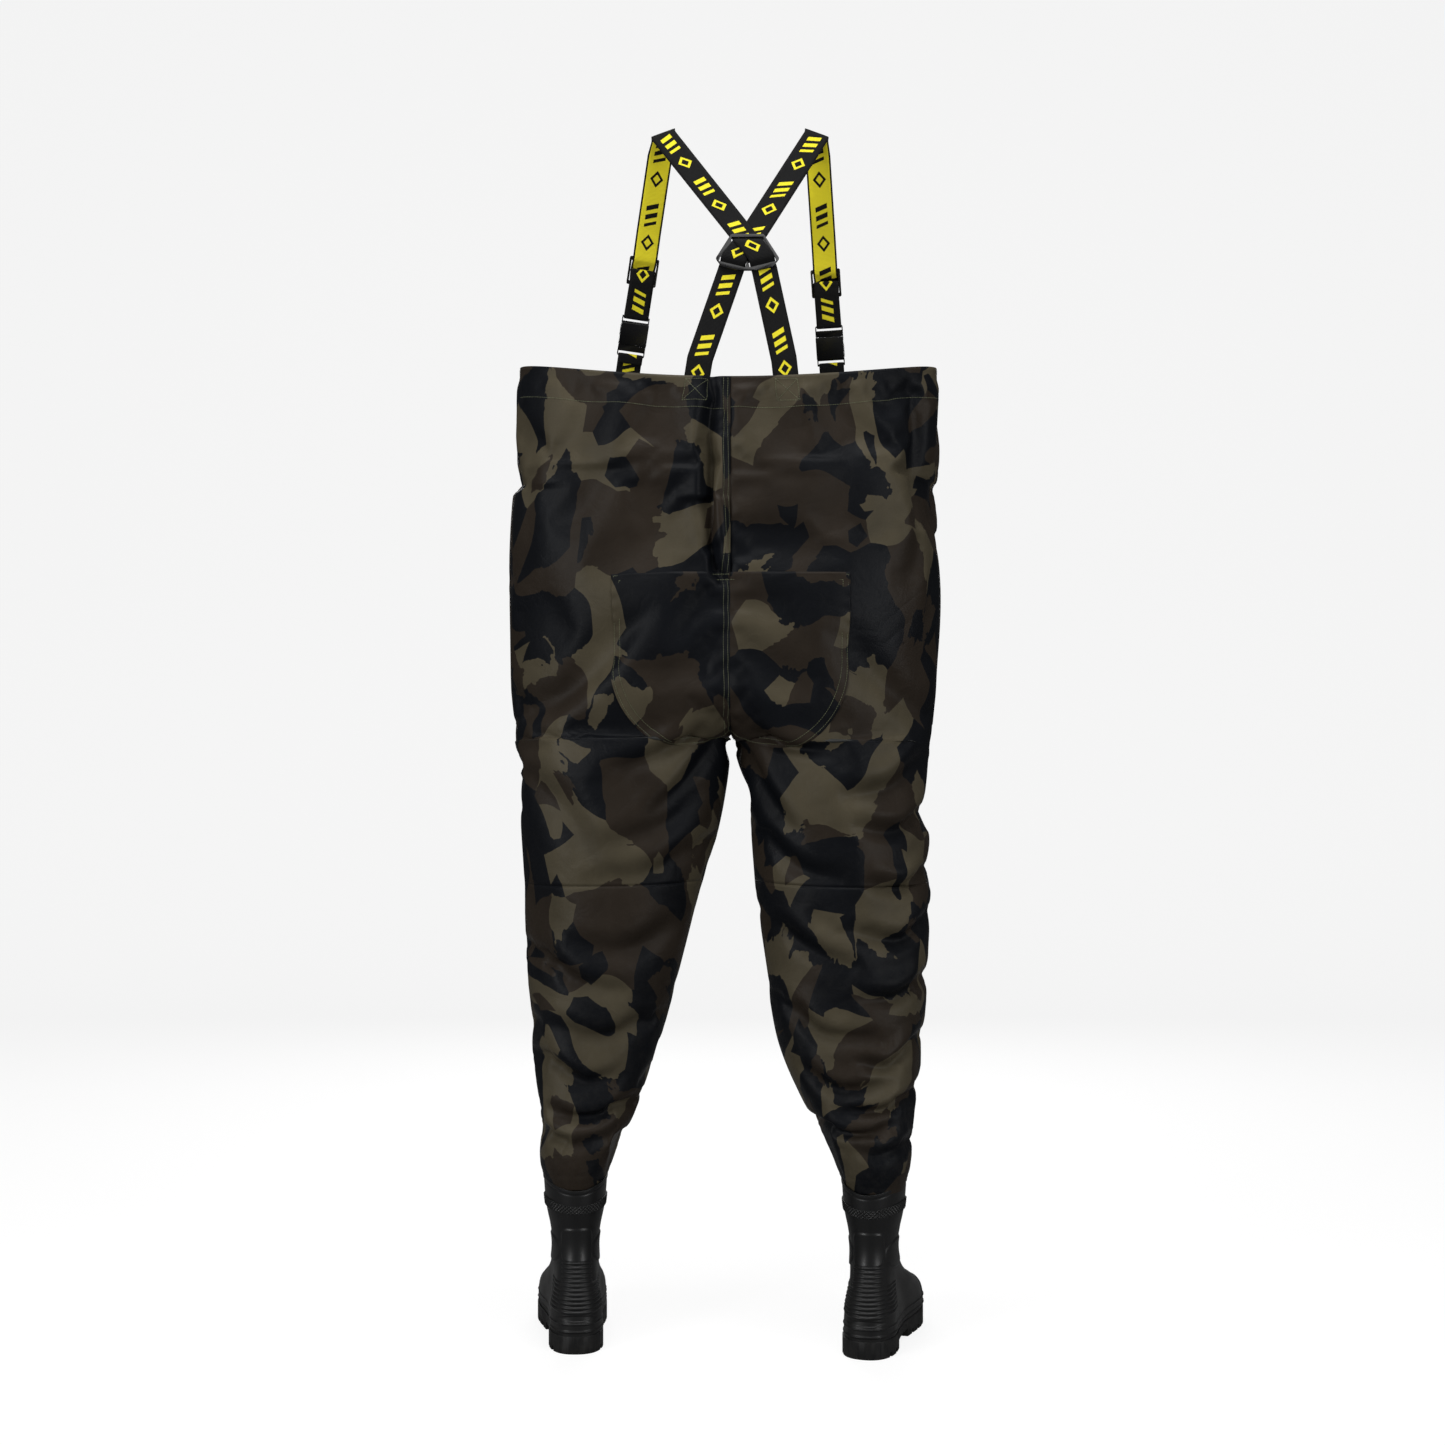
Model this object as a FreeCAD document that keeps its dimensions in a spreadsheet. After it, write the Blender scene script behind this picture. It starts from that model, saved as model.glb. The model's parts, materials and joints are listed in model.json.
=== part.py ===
import FreeCAD, Part
import math
import os
import Sketcher

"""Chest waders: a cloth bib and legs welded to moulded boots, hung from two crossed elastic straps.

Millimetres, +X to the wearer's right, +Y to the front (toes), +Z up. Everything is drawn with its height
counted from the sole, then hung: the origin is the shoulder point midway between the two strap folds.
"""

Vector = FreeCAD.Vector
Rotation = FreeCAD.Rotation
Placement = FreeCAD.Placement

SIZES = {
    # cloth body: half widths (across) and half depths (front to back) at named heights above the sole
    "cloth": 2.5,
    "hem_centre_height": 1436,
    "hem_corner_height": 1464,
    "hem_facing_depth": 46,
    "bib_top_height": 1490,
    "bib_half_width": 315,
    "bib_half_depth": 125,
    "waist_height": 1236,
    "waist_half_depth": 130,
    "seat_height": 1105,
    "seat_half_width": 317,
    "seat_half_depth": 132,
    "crotch_height": 904,
    "crotch_half_width": 303,
    "crotch_half_depth": 125,
    "leg_top_height": 985,
    "leg_top_half_width": 146,
    "leg_top_half_depth": 112,
    "thigh_height": 813,
    "thigh_half_width": 142,
    "thigh_half_depth": 112,
    "midthigh_height": 692,
    "midthigh_half_width": 129,
    "midthigh_half_depth": 106,
    "knee_height": 520,
    "knee_half_width": 103,
    "knee_half_depth": 94,
    "calf_height": 390,
    "calf_half_width": 81,
    "calf_half_depth": 80,
    "ankle_rise": 24,
    "ankle_half_width": 51,
    "ankle_half_depth": 66,
    "cuff_tuck": 26,
    "cuff_clear": 5,
    "cuff_band_height": 30,
    "seam_width": 10,
    "seam_thick": 1.3,
    "patch_thick": 1.5,
    "patch_top_height": 1150,
    "patch_half_width": 172,
    "patch_straight_height": 1020,
    "patch_lobe_height": 890,
    "patch_crotch_height": 909,
    # joints
    "hip_height": 785,
    "hip_round": 150,
    "knee_round": 135,
    "joint_gap": 0.5,
    "hip_front_left": 12,
    "hip_front_right": -4,
    "knee_front_left": 15,
    "knee_front_right": -8,
    # boots
    "ankle_out_left": 233,
    "ankle_out_right": 216,
    "ankle_back_left": 16,
    "ankle_back_right": 46,
    "toe_out_left": 6,
    "toe_out_right": 14,
    "boot_height": 250,
    "collar_dip": 15,
    "boot_wall": 4,
    "foot_heel": 84,
    "foot_toe": 202,
    "foot_half_width": 52,
    "collar_half_width": 48,
    "collar_half_depth": 63,
    "ankle_waist": 34.5,
    "collar_band_drop": 28,
    "collar_band_tall": 22,
    "collar_band_thick": 2.2,
    "sole_thick": 26,
    "arch_rise": 12,
    "tread_groove": 6,
    "tread_depth": 7,
    "insole_thick": 3,
    # webbing
    "web_width": 38,
    "web_thick": 1.4,
    "fold_height": 1832,
    "fold_out_left": 101,
    "fold_out_right": 132,
    # hardware
    "plate_thick": 3,
    "slot_clear": 1.6,
    "slot_tall": 5,
    "slide_rail": 3.2,
    "slide_tall": 43,
    "slide_bar": 6,
    "slide_middle": 2.2,
    "slide_thick": 3.4,
    "buckle_rail": 1.7,
    "buckle_shell": 2.3,
    "socket_long": 45,
    "base_long": 18,
    "base_thick": 3.2,
    "bar_tall": 3.2,
    "bay_wall": 4.3,
    "bay_long": 31,
    "bay_tall": 6.4,
    "prong_clear": 1,
    "window_start": 14,
}

HANG_ACROSS = (SIZES["fold_out_right"] - SIZES["fold_out_left"]) / 2
HANG = Vector(-HANG_ACROSS, 0, -SIZES["fold_height"])

doc = FreeCAD.newDocument("chest_waders")
sheet = doc.addObject("Spreadsheet::Sheet", "Sizes")
for row, (alias, value) in enumerate(SIZES.items(), start=1):
    sheet.set(f"A{row}", alias)
    sheet.set(f"B{row}", str(value))
    sheet.setAlias(f"B{row}", alias)
doc.recompute()

SLOT_WIDE = "(Sizes.web_width + Sizes.slot_clear)"
SLIDE_WIDE = f"({SLOT_WIDE} + 2 * Sizes.slide_rail)"
BUCKLE_WIDE = f"({SLOT_WIDE} + 2 * Sizes.buckle_rail)"
BAY_WIDE = f"({BUCKLE_WIDE} - 2 * Sizes.bay_wall)"
BUCKLE_THICK = "(Sizes.bay_tall + 2 * Sizes.buckle_shell)"

NODES = []


def size(alias):
    """The value of one cell of the sheet, in millimetres or degrees."""
    return float(sheet.get(alias))


def slot_wide():
    """The width of every slot that the webbing passes through."""
    return size("web_width") + size("slot_clear")


def cuff_size(alias):
    """The leg's lower end: it is tucked inside the boot's collar with a clearance all round."""
    inside = size("boot_wall") + size("cuff_clear")
    return {
        "ankle_height": size("boot_height") + size("ankle_rise"),
        "cuff_height": size("boot_height") - size("cuff_tuck"),
        "cuff_half_width": size("collar_half_width") - inside,
        "cuff_half_depth": size("collar_half_depth") - inside,
    }[alias]


def hung(placement):
    """A placement drawn above the sole, moved to the hanging frame."""
    return Placement(HANG, Rotation()).multiply(placement)


def keep_shape(node, shape, placement=None):
    """Adds one sub-part whose shape comes straight from Part."""
    feature = doc.addObject("Part::Feature", node)
    feature.Label = node
    feature.Shape = shape
    feature.Placement = hung(placement or Placement())
    NODES.append(feature)
    return feature


# ---------------------------------------------------------------- cloth body

SQUARENESS = 2.6
RING_POINTS = 20


def ring(centre, half_wide, half_deep, squareness=SQUARENESS):
    """A closed smooth curve |x/a|^n + |y/b|^n = 1 about a centre, level with the ground."""
    points = []
    for step in range(RING_POINTS):
        turn = 2 * math.pi * step / RING_POINTS
        across = math.copysign(abs(math.cos(turn)) ** (2 / squareness), math.cos(turn))
        along = math.copysign(abs(math.sin(turn)) ** (2 / squareness), math.sin(turn))
        points.append(centre + Vector(half_wide * across, half_deep * along, 0))
    curve = Part.BSplineCurve()
    curve.interpolate(Points=points, PeriodicFlag=True)
    return Part.Wire([curve.toShape()])


def trunk_solid(offset):
    """The bib and seat as one solid, grown outwards by an offset."""
    heights = [
        (size("bib_top_height"), size("bib_half_width"), size("bib_half_depth")),
        (size("waist_height"), size("bib_half_width"), size("waist_half_depth")),
        (size("seat_height"), size("seat_half_width"), size("seat_half_depth")),
        (size("crotch_height") - offset, size("crotch_half_width"), size("crotch_half_depth")),
    ]
    rings = [ring(Vector(0, 0, up), wide + offset, deep + offset) for up, wide, deep in heights]
    return Part.makeLoft(rings, True, False)


def leg_line(side, height):
    """The middle of one leg at a height: it leans out and back from the crotch to the ankle."""
    name = "left" if side < 0 else "right"
    out_top = size("leg_top_half_width") + 4
    out_low = size(f"ankle_out_{name}")
    share = (size("leg_top_height") - height) / (size("leg_top_height") - cuff_size("cuff_height"))
    back = -size(f"ankle_back_{name}") * max(0.0, share) ** 2
    return Vector(side * (out_top + (out_low - out_top) * share), back, height)


def toe_turn(side):
    """The angle that one boot, and the cuff in it, is turned out, anticlockwise from above."""
    return -side * size("toe_out_left" if side < 0 else "toe_out_right")


CUFF_SIZES = ("ankle_height", "cuff_height", "cuff_half_width", "cuff_half_depth")


def leg_ring(side, name, offset, squareness, lower=0.0):
    """One level curve of a leg at a named height, or straight below it."""
    height, wide, deep = (
        (cuff_size if alias in CUFF_SIZES else size)(alias)
        for alias in (f"{name}_height", f"{name}_half_width", f"{name}_half_depth")
    )
    middle = leg_line(side, height)
    middle.z -= lower
    level = ring(middle, wide + offset, deep + offset, squareness)
    if name == "cuff":
        level.rotate(middle, Vector(0, 0, 1), toe_turn(side))
    return level


def leg_solid(side, offset, low=0.0):
    """One leg as a solid from inside the seat to the cuff, or lower, grown outwards by an offset.

    It is one smooth loft to the ankle, then tapers to the boot's rim and goes down inside its collar."""
    names = ["leg_top", "thigh", "midthigh", "knee", "calf", "ankle"]
    rings = [
        leg_ring(side, name, offset, max(2.0, SQUARENESS - 0.2 * place))
        for place, name in enumerate(names)
    ]
    at_rim = leg_ring(side, "cuff", offset, 2.0, -size("cuff_tuck"))
    taper = [rings[-1], at_rim, leg_ring(side, "cuff", offset, 2.0)]
    if low:
        taper.append(leg_ring(side, "cuff", offset, 2.0, low))
    return Part.makeLoft(rings, True, False).fuse(Part.makeLoft(taper, True, True))


def garment(offset, low=0.0):
    """Bib, seat and both legs as one solid, grown outwards by an offset."""
    legs = [leg_solid(side, offset, low) for side in (-1, 1)]
    return trunk_solid(offset).fuse(legs)


FAR = 600


def slab(low_corner, high_corner):
    """A box between two opposite corners."""
    span = high_corner - low_corner
    return Part.makeBox(span.x, span.y, span.z, low_corner)


def prism_across(points):
    """A side-view outline (front, up) pulled across the whole width."""
    corners = [Vector(-FAR, front, up) for front, up in points]
    face = Part.Face(Part.makePolygon(corners + corners[:1]))
    return face.extrude(Vector(2 * FAR, 0, 0))


def prism_along(points):
    """A back-view outline (across, up) pulled from back to front."""
    corners = [Vector(across, -FAR, up) for across, up in points]
    face = Part.Face(Part.makePolygon(corners + corners[:1]))
    return face.extrude(Vector(0, 2 * FAR, 0))


def above_dipped_rim(half_wide, corner_height, centre_height):
    """Everything above an edge that dips in the middle and rises to both sides."""
    left = Vector(-half_wide, -FAR, corner_height)
    dip = Vector(0, -FAR, centre_height)
    right = Vector(half_wide, -FAR, corner_height)
    rim = Part.Arc(left, dip, right).toShape()
    sky = 1700
    above = [right, Vector(FAR, -FAR, corner_height + 30), Vector(FAR, -FAR, sky)]
    above += [Vector(-FAR, -FAR, sky), Vector(-FAR, -FAR, corner_height + 30), left]
    outline = Part.Wire([rim] + Part.makePolygon(above).Edges)
    return Part.Face(outline).extrude(Vector(0, 2 * FAR, 0))


def hinge_round(side, joint, grow):
    """The round of one hip or knee: a cylinder across the leg about the joint's axis."""
    name = "left" if side < 0 else "right"
    front = size(f"{joint}_front_{name}")
    start = Vector(min(0, side * FAR), front, size(f"{joint}_height"))
    return Part.makeCylinder(size(f"{joint}_round") + grow, FAR, start, Vector(1, 0, 0))


def leg_zone(side, joint, grow=0.0):
    """All that turns with a leg below one joint: the round, and everything under the axis."""
    middle = size(f"{joint}_height")
    near, far = sorted((side * 0.4, side * FAR))
    below = slab(Vector(near, -FAR, -50), Vector(far, FAR, middle + grow))
    halfspace = slab(Vector(near, -FAR, -50), Vector(far, FAR, 1700))
    return hinge_round(side, joint, grow).common(halfspace).fuse(below)


def back_zone(side):
    """The half of one leg behind its side seams, which follow the leg's own middle."""
    ankle = leg_line(side, cuff_size("cuff_height"))
    knee = leg_line(side, size("knee_height"))
    points = [
        (-FAR, 100), (ankle.y, 100), (ankle.y, ankle.z), (knee.y, knee.z),
        (0, size("hip_height")), (0, 1700), (-FAR, 1700),
    ]
    return prism_across(points)


def only_solid(shape):
    """The largest solid of a boolean's result."""
    return max(shape.Solids, key=lambda solid: solid.Volume)


outer = garment(0.0)
hollow = garment(-size("cloth"), low=40.0)
above_hem = above_dipped_rim(
    size("bib_half_width"), size("hem_corner_height"), size("hem_centre_height"))
cloth = outer.cut(hollow).cut(above_hem)
gap = size("joint_gap")
hip_zones = {side: leg_zone(side, "hip") for side in (-1, 1)}
hip_clear = leg_zone(-1, "hip", gap).fuse(leg_zone(1, "hip", gap))
middle_strip = slab(Vector(-1, -FAR, -50), Vector(1, FAR, size("hip_height") + gap))
trunk = cloth.cut(hip_clear).cut(middle_strip)
trunk = trunk.common(slab(Vector(-FAR, -FAR, size("hip_height") + 20), Vector(FAR, FAR, 1700)))
HALVES = {"left": (-FAR, 0), "right": (0, FAR)}
DEPTHS = {"back": (-FAR, 0), "front": (0, FAR)}


def make_trunk_panels():
    """Four panels of the bib and seat, meeting at the centre and side seams."""
    for depth, (rear, fore) in DEPTHS.items():
        for half, (start, end) in HALVES.items():
            quarter = slab(Vector(start, rear, 0), Vector(end, fore, 1700))
            keep_shape(f"{depth}_panel_{half}", only_solid(trunk.common(quarter)))


def make_leg_panels():
    """Thigh and shin panels, front and back, parted at the hip and knee rounds."""
    for side, half in ((-1, "left"), (1, "right")):
        leg = cloth.common(hip_zones[side])
        behind = back_zone(side)
        pieces = {
            "thigh": leg.cut(leg_zone(side, "knee", gap)),
            "shin": leg.common(leg_zone(side, "knee")),
        }
        for name, piece in pieces.items():
            keep_shape(f"{name}_back_{half}", only_solid(piece.common(behind)))
            keep_shape(f"{name}_front_{half}", only_solid(piece.cut(behind)))


def skin(region, thick, inside=0.0):
    """A layer lying on the outside of the bib and seat, within a region."""
    layer = trunk_solid(thick + inside).cut(trunk_solid(inside))
    return only_solid(layer.common(region).cut(above_hem).cut(hip_clear))


def make_hem_facing():
    """The cloth turned in behind the top edge, one band round the mouth."""
    depth = size("hem_facing_depth")
    inner_gap = size("cloth") + 0.2
    layer = trunk_solid(-inner_gap).cut(trunk_solid(-inner_gap - size("seam_thick")))
    band = layer.cut(above_hem)
    lowered = above_hem.copy()
    lowered.translate(Vector(0, 0, -depth))
    keep_shape("hem_facing", only_solid(band.common(lowered)))


def make_seam_strips():
    """Flat felled seams: raised strips down the centre back, the centre front and both sides."""
    half = size("seam_width") / 2
    patch_top = size("patch_top_height")
    thick = size("seam_thick")
    back = slab(Vector(-half, -FAR, patch_top + 1), Vector(half, 0, 1700))
    keep_shape("back_seam_strip", skin(back, thick))
    low = size("hip_height") + size("hip_round") + 10
    front = slab(Vector(-half, 0, low), Vector(half, FAR, 1700))
    keep_shape("front_seam_strip", skin(front, thick))
    for half_name, start, end in (("left", -FAR, 0), ("right", 0, FAR)):
        side = slab(Vector(start, -half, low), Vector(end, half, 1700))
        keep_shape(f"side_seam_{half_name}", skin(side, thick))


def make_seat_patches():
    """Doubled cloth on the seat: a straight top, and a round lobe on each side of the crotch."""
    wide = size("patch_half_width")
    top = size("patch_top_height")
    for half, sign in (("left", -1), ("right", 1)):
        corner = Vector(sign * wide, -FAR, size("patch_straight_height"))
        crotch = Vector(sign * 0.4, -FAR, size("patch_crotch_height"))
        lobe = Vector(sign * wide * 0.45, -FAR, size("patch_lobe_height"))
        rise = Part.Arc(corner, Vector(sign * wide * 0.86, -FAR, 935), lobe).toShape()
        fall = Part.makeLine(lobe, crotch)
        upper = [crotch, Vector(sign * 0.4, -FAR, top), Vector(sign * wide, -FAR, top), corner]
        outline = Part.Wire([rise, fall] + Part.makePolygon(upper).Edges)
        region = Part.Face(outline).extrude(Vector(0, FAR, 0))
        shape = garment(size("patch_thick")).cut(outer).common(region).cut(hip_clear)
        keep_shape(f"seat_patch_{half}", only_solid(shape))


def make_cuff_bands():
    """The welded strip round the bottom of each leg."""
    low = cuff_size("cuff_height")
    for side, half in ((-1, "left"), (1, "right")):
        layer = leg_solid(side, size("seam_thick")).cut(leg_solid(side, 0))
        zone = slab(Vector(-FAR, -FAR, low - 5), Vector(FAR, FAR, low + size("cuff_band_height")))
        keep_shape(f"cuff_band_{half}", only_solid(layer.common(zone)))


# ---------------------------------------------------------------- boots

FOOT_OUTLINE = [
    # (share of the way from heel to toe, share of the half width)
    (0.0, 0.0), (0.03, 0.46), (0.14, 0.73), (0.28, 0.74), (0.44, 0.77), (0.60, 0.93),
    (0.72, 1.0), (0.84, 0.90), (0.95, 0.58), (1.0, 0.0),
]


def foot_ring(height, heel, toe, half_wide, roundness):
    """A closed level curve: a foot's outline, or an oval when the roundness is one."""
    shares = FOOT_OUTLINE + [(along, -wide) for along, wide in FOOT_OUTLINE[-2:0:-1]]
    points = []
    for along, wide in shares:
        oval = math.copysign(2 * math.sqrt(max(0.0, along * (1 - along))), wide) if wide else 0.0
        across = half_wide * (wide + (oval - wide) * roundness)
        points.append(Vector(across, heel + (toe - heel) * along, height))
    curve = Part.BSplineCurve()
    curve.interpolate(Points=points, PeriodicFlag=True)
    return Part.Wire([curve.toShape()])


def boot_rings(inset, bottom, top):
    """Level curves of a boot from its sole to its collar, pulled in by an inset."""
    heel, toe, half = size("foot_heel"), size("foot_toe"), size("foot_half_width")
    collar_deep, collar_half = size("collar_half_depth"), size("collar_half_width")
    waist = size("ankle_waist")
    table = [
        (bottom, -heel, toe, half, 0.0),
        (46, -heel + 1, toe - 3, half, 0.0),
        (64, -heel + 4, toe - 22, half - 2, 0.0),
        (80, -heel + 7, toe - 58, half - 6, 0.1),
        (98, -heel + 13, 100, waist + 6, 0.4),
        (122, -collar_deep + 1, 66, waist + 2, 0.8),
        (150, -collar_deep + 7, 53, waist, 1.0),
        (175, -collar_deep + 6, 54, waist + 3.5, 1.0),
        (205, -collar_deep + 2, collar_deep - 3, collar_half - 4, 1.0),
        (top, -collar_deep, collar_deep, collar_half, 1.0),
    ]
    return [
        foot_ring(up, rear + inset, fore - inset, wide - inset, roundness)
        for up, rear, fore, wide, roundness in table
    ]


def boot_place(side):
    """Where one boot stands, its toe turned out."""
    ankle = leg_line(side, cuff_size("cuff_height"))
    return Placement(Vector(ankle.x, ankle.y, 0), Rotation(Vector(0, 0, 1), toe_turn(side)))


def make_boots():
    """Upper, knurled collar band, outsole and insole of each boot."""
    sole, wall, top = size("sole_thick"), size("boot_wall"), size("boot_height")
    body = Part.makeLoft(boot_rings(0.0, sole, top), True, True)
    cavity = Part.makeLoft(boot_rings(wall, sole + 2, top + 20), True, True)
    rim = above_dipped_rim(size("collar_half_width"), top, top - size("collar_dip"))
    upper = body.cut(cavity).cut(rim)
    band_high = top - size("collar_band_drop")
    band_zone = slab(Vector(-FAR, -FAR, band_high - size("collar_band_tall")),
                     Vector(FAR, FAR, band_high))
    grown = Part.makeLoft(boot_rings(-size("collar_band_thick"), sole, top), True, True)
    band = grown.cut(body).common(band_zone)
    heel, toe, half = size("foot_heel"), size("foot_toe"), size("foot_half_width")
    outline = foot_ring(0, -heel - 2, toe + 2, half + 2, 0.0)
    outsole = Part.Face(outline).extrude(Vector(0, 0, sole))
    arch = slab(Vector(-FAR, -12, -5), Vector(FAR, 52, size("arch_rise")))
    outsole = outsole.cut(arch)
    groove, depth = size("tread_groove"), size("tread_depth")
    for start in [-62, -38] + [70 + 24 * step for step in range(5)]:
        cut = slab(Vector(-FAR, start, -5), Vector(FAR, start + groove, depth))
        outsole = outsole.cut(cut)
    step_wall = wall + 1
    liner = foot_ring(sole + 2.1, -heel + step_wall, toe - step_wall - 2, half - step_wall, 0.0)
    insole = Part.Face(liner).extrude(Vector(0, 0, size("insole_thick")))
    for side, half_name in ((-1, "left"), (1, "right")):
        place = boot_place(side)
        keep_shape(f"boot_upper_{half_name}", only_solid(upper), place)
        keep_shape(f"collar_band_{half_name}", only_solid(band), place)
        keep_shape(f"outsole_{half_name}", only_solid(outsole), place)
        keep_shape(f"insole_{half_name}", only_solid(insole), place)


# ---------------------------------------------------------------- webbing


def ribbon(node, stations):
    """A flat webbing solid through stations (centre, half width vector), bent only flatwise."""
    thick = size("web_thick")
    wires = []
    for place, (centre, half) in enumerate(stations):
        ahead = stations[min(place + 1, len(stations) - 1)][0]
        behind = stations[max(place - 1, 0)][0]
        normal = (ahead - behind).cross(half)
        normal.normalize()
        normal *= thick / 2
        corners = [centre - half - normal, centre + half - normal]
        corners += [centre + half + normal, centre - half + normal]
        wires.append(Part.makePolygon(corners + corners[:1]))
    keep_shape(node, Part.makeLoft(wires, True, True))


FOLD_TILT_DEG = 20


def fold_half(side):
    """Half the shoulder fold line, whose inner end is the higher one."""
    tilt = math.radians(FOLD_TILT_DEG)
    return Vector(math.cos(tilt), 0, -side * math.sin(tilt)) * (size("web_width") / 2)


def fold_centre(side, front, drop):
    """A point at the shoulder fold: a little in front of or behind it, and below its top."""
    name = "left" if side < 0 else "right"
    return Vector(side * size(f"fold_out_{name}"), front, size("fold_height") - drop)


def bend(middle, radius, first_deg, last_deg, steps=5):
    """Points (outwards, up) round a bar, in the side view of a strap."""
    points = []
    for step in range(steps):
        angle = math.radians(first_deg + (last_deg - first_deg) * step / (steps - 1))
        points.append((middle[0] + radius * math.cos(angle), middle[1] + radius * math.sin(angle)))
    return points


def inside_bib(across):
    """How far front or back a strap lies when it is sewn inside the bib's facing."""
    share = (abs(across) + size("web_width")) / size("bib_half_width")
    cloth_face = size("bib_half_depth") * (1 - share ** SQUARENESS) ** (1 / SQUARENESS)
    layers = size("cloth") + size("seam_thick") + size("web_thick") / 2
    return cloth_face - layers - 0.8


class StrapLine:
    """The straight line that a front strap hangs along, from the shoulder fold to the bib's hem."""

    HEM_HEIGHT = 1470
    HEM_ACROSS = {-1: 160, 1: 161}
    FOLD_FRONT = 9
    TURN_DEG = 9

    def __init__(self, side):
        name = "left" if side < 0 else "right"
        top_across = side * size(f"fold_out_{name}")
        hem_across = self.HEM_ACROSS[side]
        self.hem_front = inside_bib(hem_across)
        self.foot = Vector(side * hem_across, self.hem_front, self.HEM_HEIGHT)
        self.head = Vector(top_across, self.FOLD_FRONT, size("fold_height") - 6)
        self.up = self.head - self.foot
        self.length = self.up.Length
        self.up.normalize()
        turn = math.radians(self.TURN_DEG)
        level = Vector(math.cos(turn), -side * math.sin(turn), 0)
        self.outwards = self.up.cross(level)
        self.outwards.normalize()
        self.across = self.outwards.cross(self.up)

    def along(self, height):
        """The distance up the line at which it reaches a height above the sole."""
        return (height - self.foot.z) / self.up.z

    def point(self, outwards, up, across=0.0):
        """A point in the strap's own frame, in the frame of the whole."""
        return self.foot + self.outwards * outwards + self.up * up + self.across * across

    def placement(self, up, flipped=False):
        """A hardware piece's place on the line, upside down if flipped."""
        turn = Rotation(self.across, self.outwards, self.up, "ZXY")
        if flipped:
            turn = turn.multiply(Rotation(Vector(0, 1, 0), 180))
        return Placement(self.point(0, up), turn)


LINES = {-1: StrapLine(-1), 1: StrapLine(1)}
MOUTH_HEIGHT = {-1: 1518, 1: 1531}
SLIDE_HEIGHT = {-1: 1627, 1: 1610}
LAYER = 3.1


def buckle_slots(side):
    """Heights up the line of the buckle's mouth, its upper slot and its lower slot."""
    mouth = LINES[side].along(MOUTH_HEIGHT[side])
    past_slot = size("slot_tall") / 2 + size("bar_tall")
    socket_slot = size("socket_long") - past_slot
    base_slot = size("base_long") - past_slot
    if side < 0:
        return mouth, mouth + socket_slot, mouth - base_slot
    return mouth, mouth + base_slot, mouth - socket_slot


def make_front_straps():
    """Front runs, folded-back tails and lower tabs."""
    half = size("web_width") / 2
    for side, half_name in ((-1, "left"), (1, "right")):
        line = LINES[side]
        wide = line.across * half
        mouth, upper, lower = buckle_slots(side)
        slide = line.along(SLIDE_HEIGHT[side])
        to_bar = (size("slot_tall") + size("bar_tall")) / 2
        bar = size("slide_tall") / 2 - size("slide_bar") / 2
        run = [(0, line.length - 34), (0, slide + 60), (-1.6, slide + 34)]
        run += [(-3.0, bar + slide + 3), (-3.0, bar + slide - 3), (1.0, slide + 9.5)]
        run += [(4.9, slide + 3), (4.9, slide - 3), (1.0, slide - 9.5)]
        run += [(-3.0, slide - bar + 3), (-2.6, slide - bar - 5)]
        run += [(LAYER, upper + 9)] + bend((0, upper + to_bar), LAYER, 0, -90, 3)
        fold = [(fold_centre(side, front, drop), fold_half(side)) for front, drop in
                ((0.4, 7.0), (3.6, 8.2), (6.2, 12))]
        ribbon(f"strap_front_{half_name}", fold + [(line.point(*p), wide) for p in run])
        tail = bend((0, upper + to_bar), LAYER, -112, -180, 3)
        tail += [(-LAYER, upper + 9), (-4.9, slide - bar - 6), (-4.9, slide - bar + 4)]
        tail += [(-2.9, slide - 4)] + bend((0, slide), 2.9 + 0.0, 180, 30, 5)
        ribbon(f"strap_tail_{half_name}", [(line.point(*p), wide) for p in tail])
        inner = bend((0, lower - to_bar), LAYER, 180, 0, 7)
        tab = [(line.point(-LAYER, lower - 16), wide)]
        tab += [(line.point(*p), wide) for p in inner]
        tab += [(line.point(LAYER, lower - 9), wide)]
        for height in (1462, 1440, 1392):
            foot = line.point(0, line.along(height))
            tab.append((Vector(foot.x, line.hem_front, height), wide))
        ribbon(f"strap_tab_{half_name}", tab)


PLATE_CENTRE = Vector(26, -103, 1622)
PLATE_TILT = 15
PLATE_PLACE = Placement(PLATE_CENTRE, Rotation(Vector(1, 0, 0), -PLATE_TILT))
ANCHOR_ACROSS = {-1: 79, 1: -44}
ANCHOR_END = {-1: 88, 1: -57}


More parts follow.
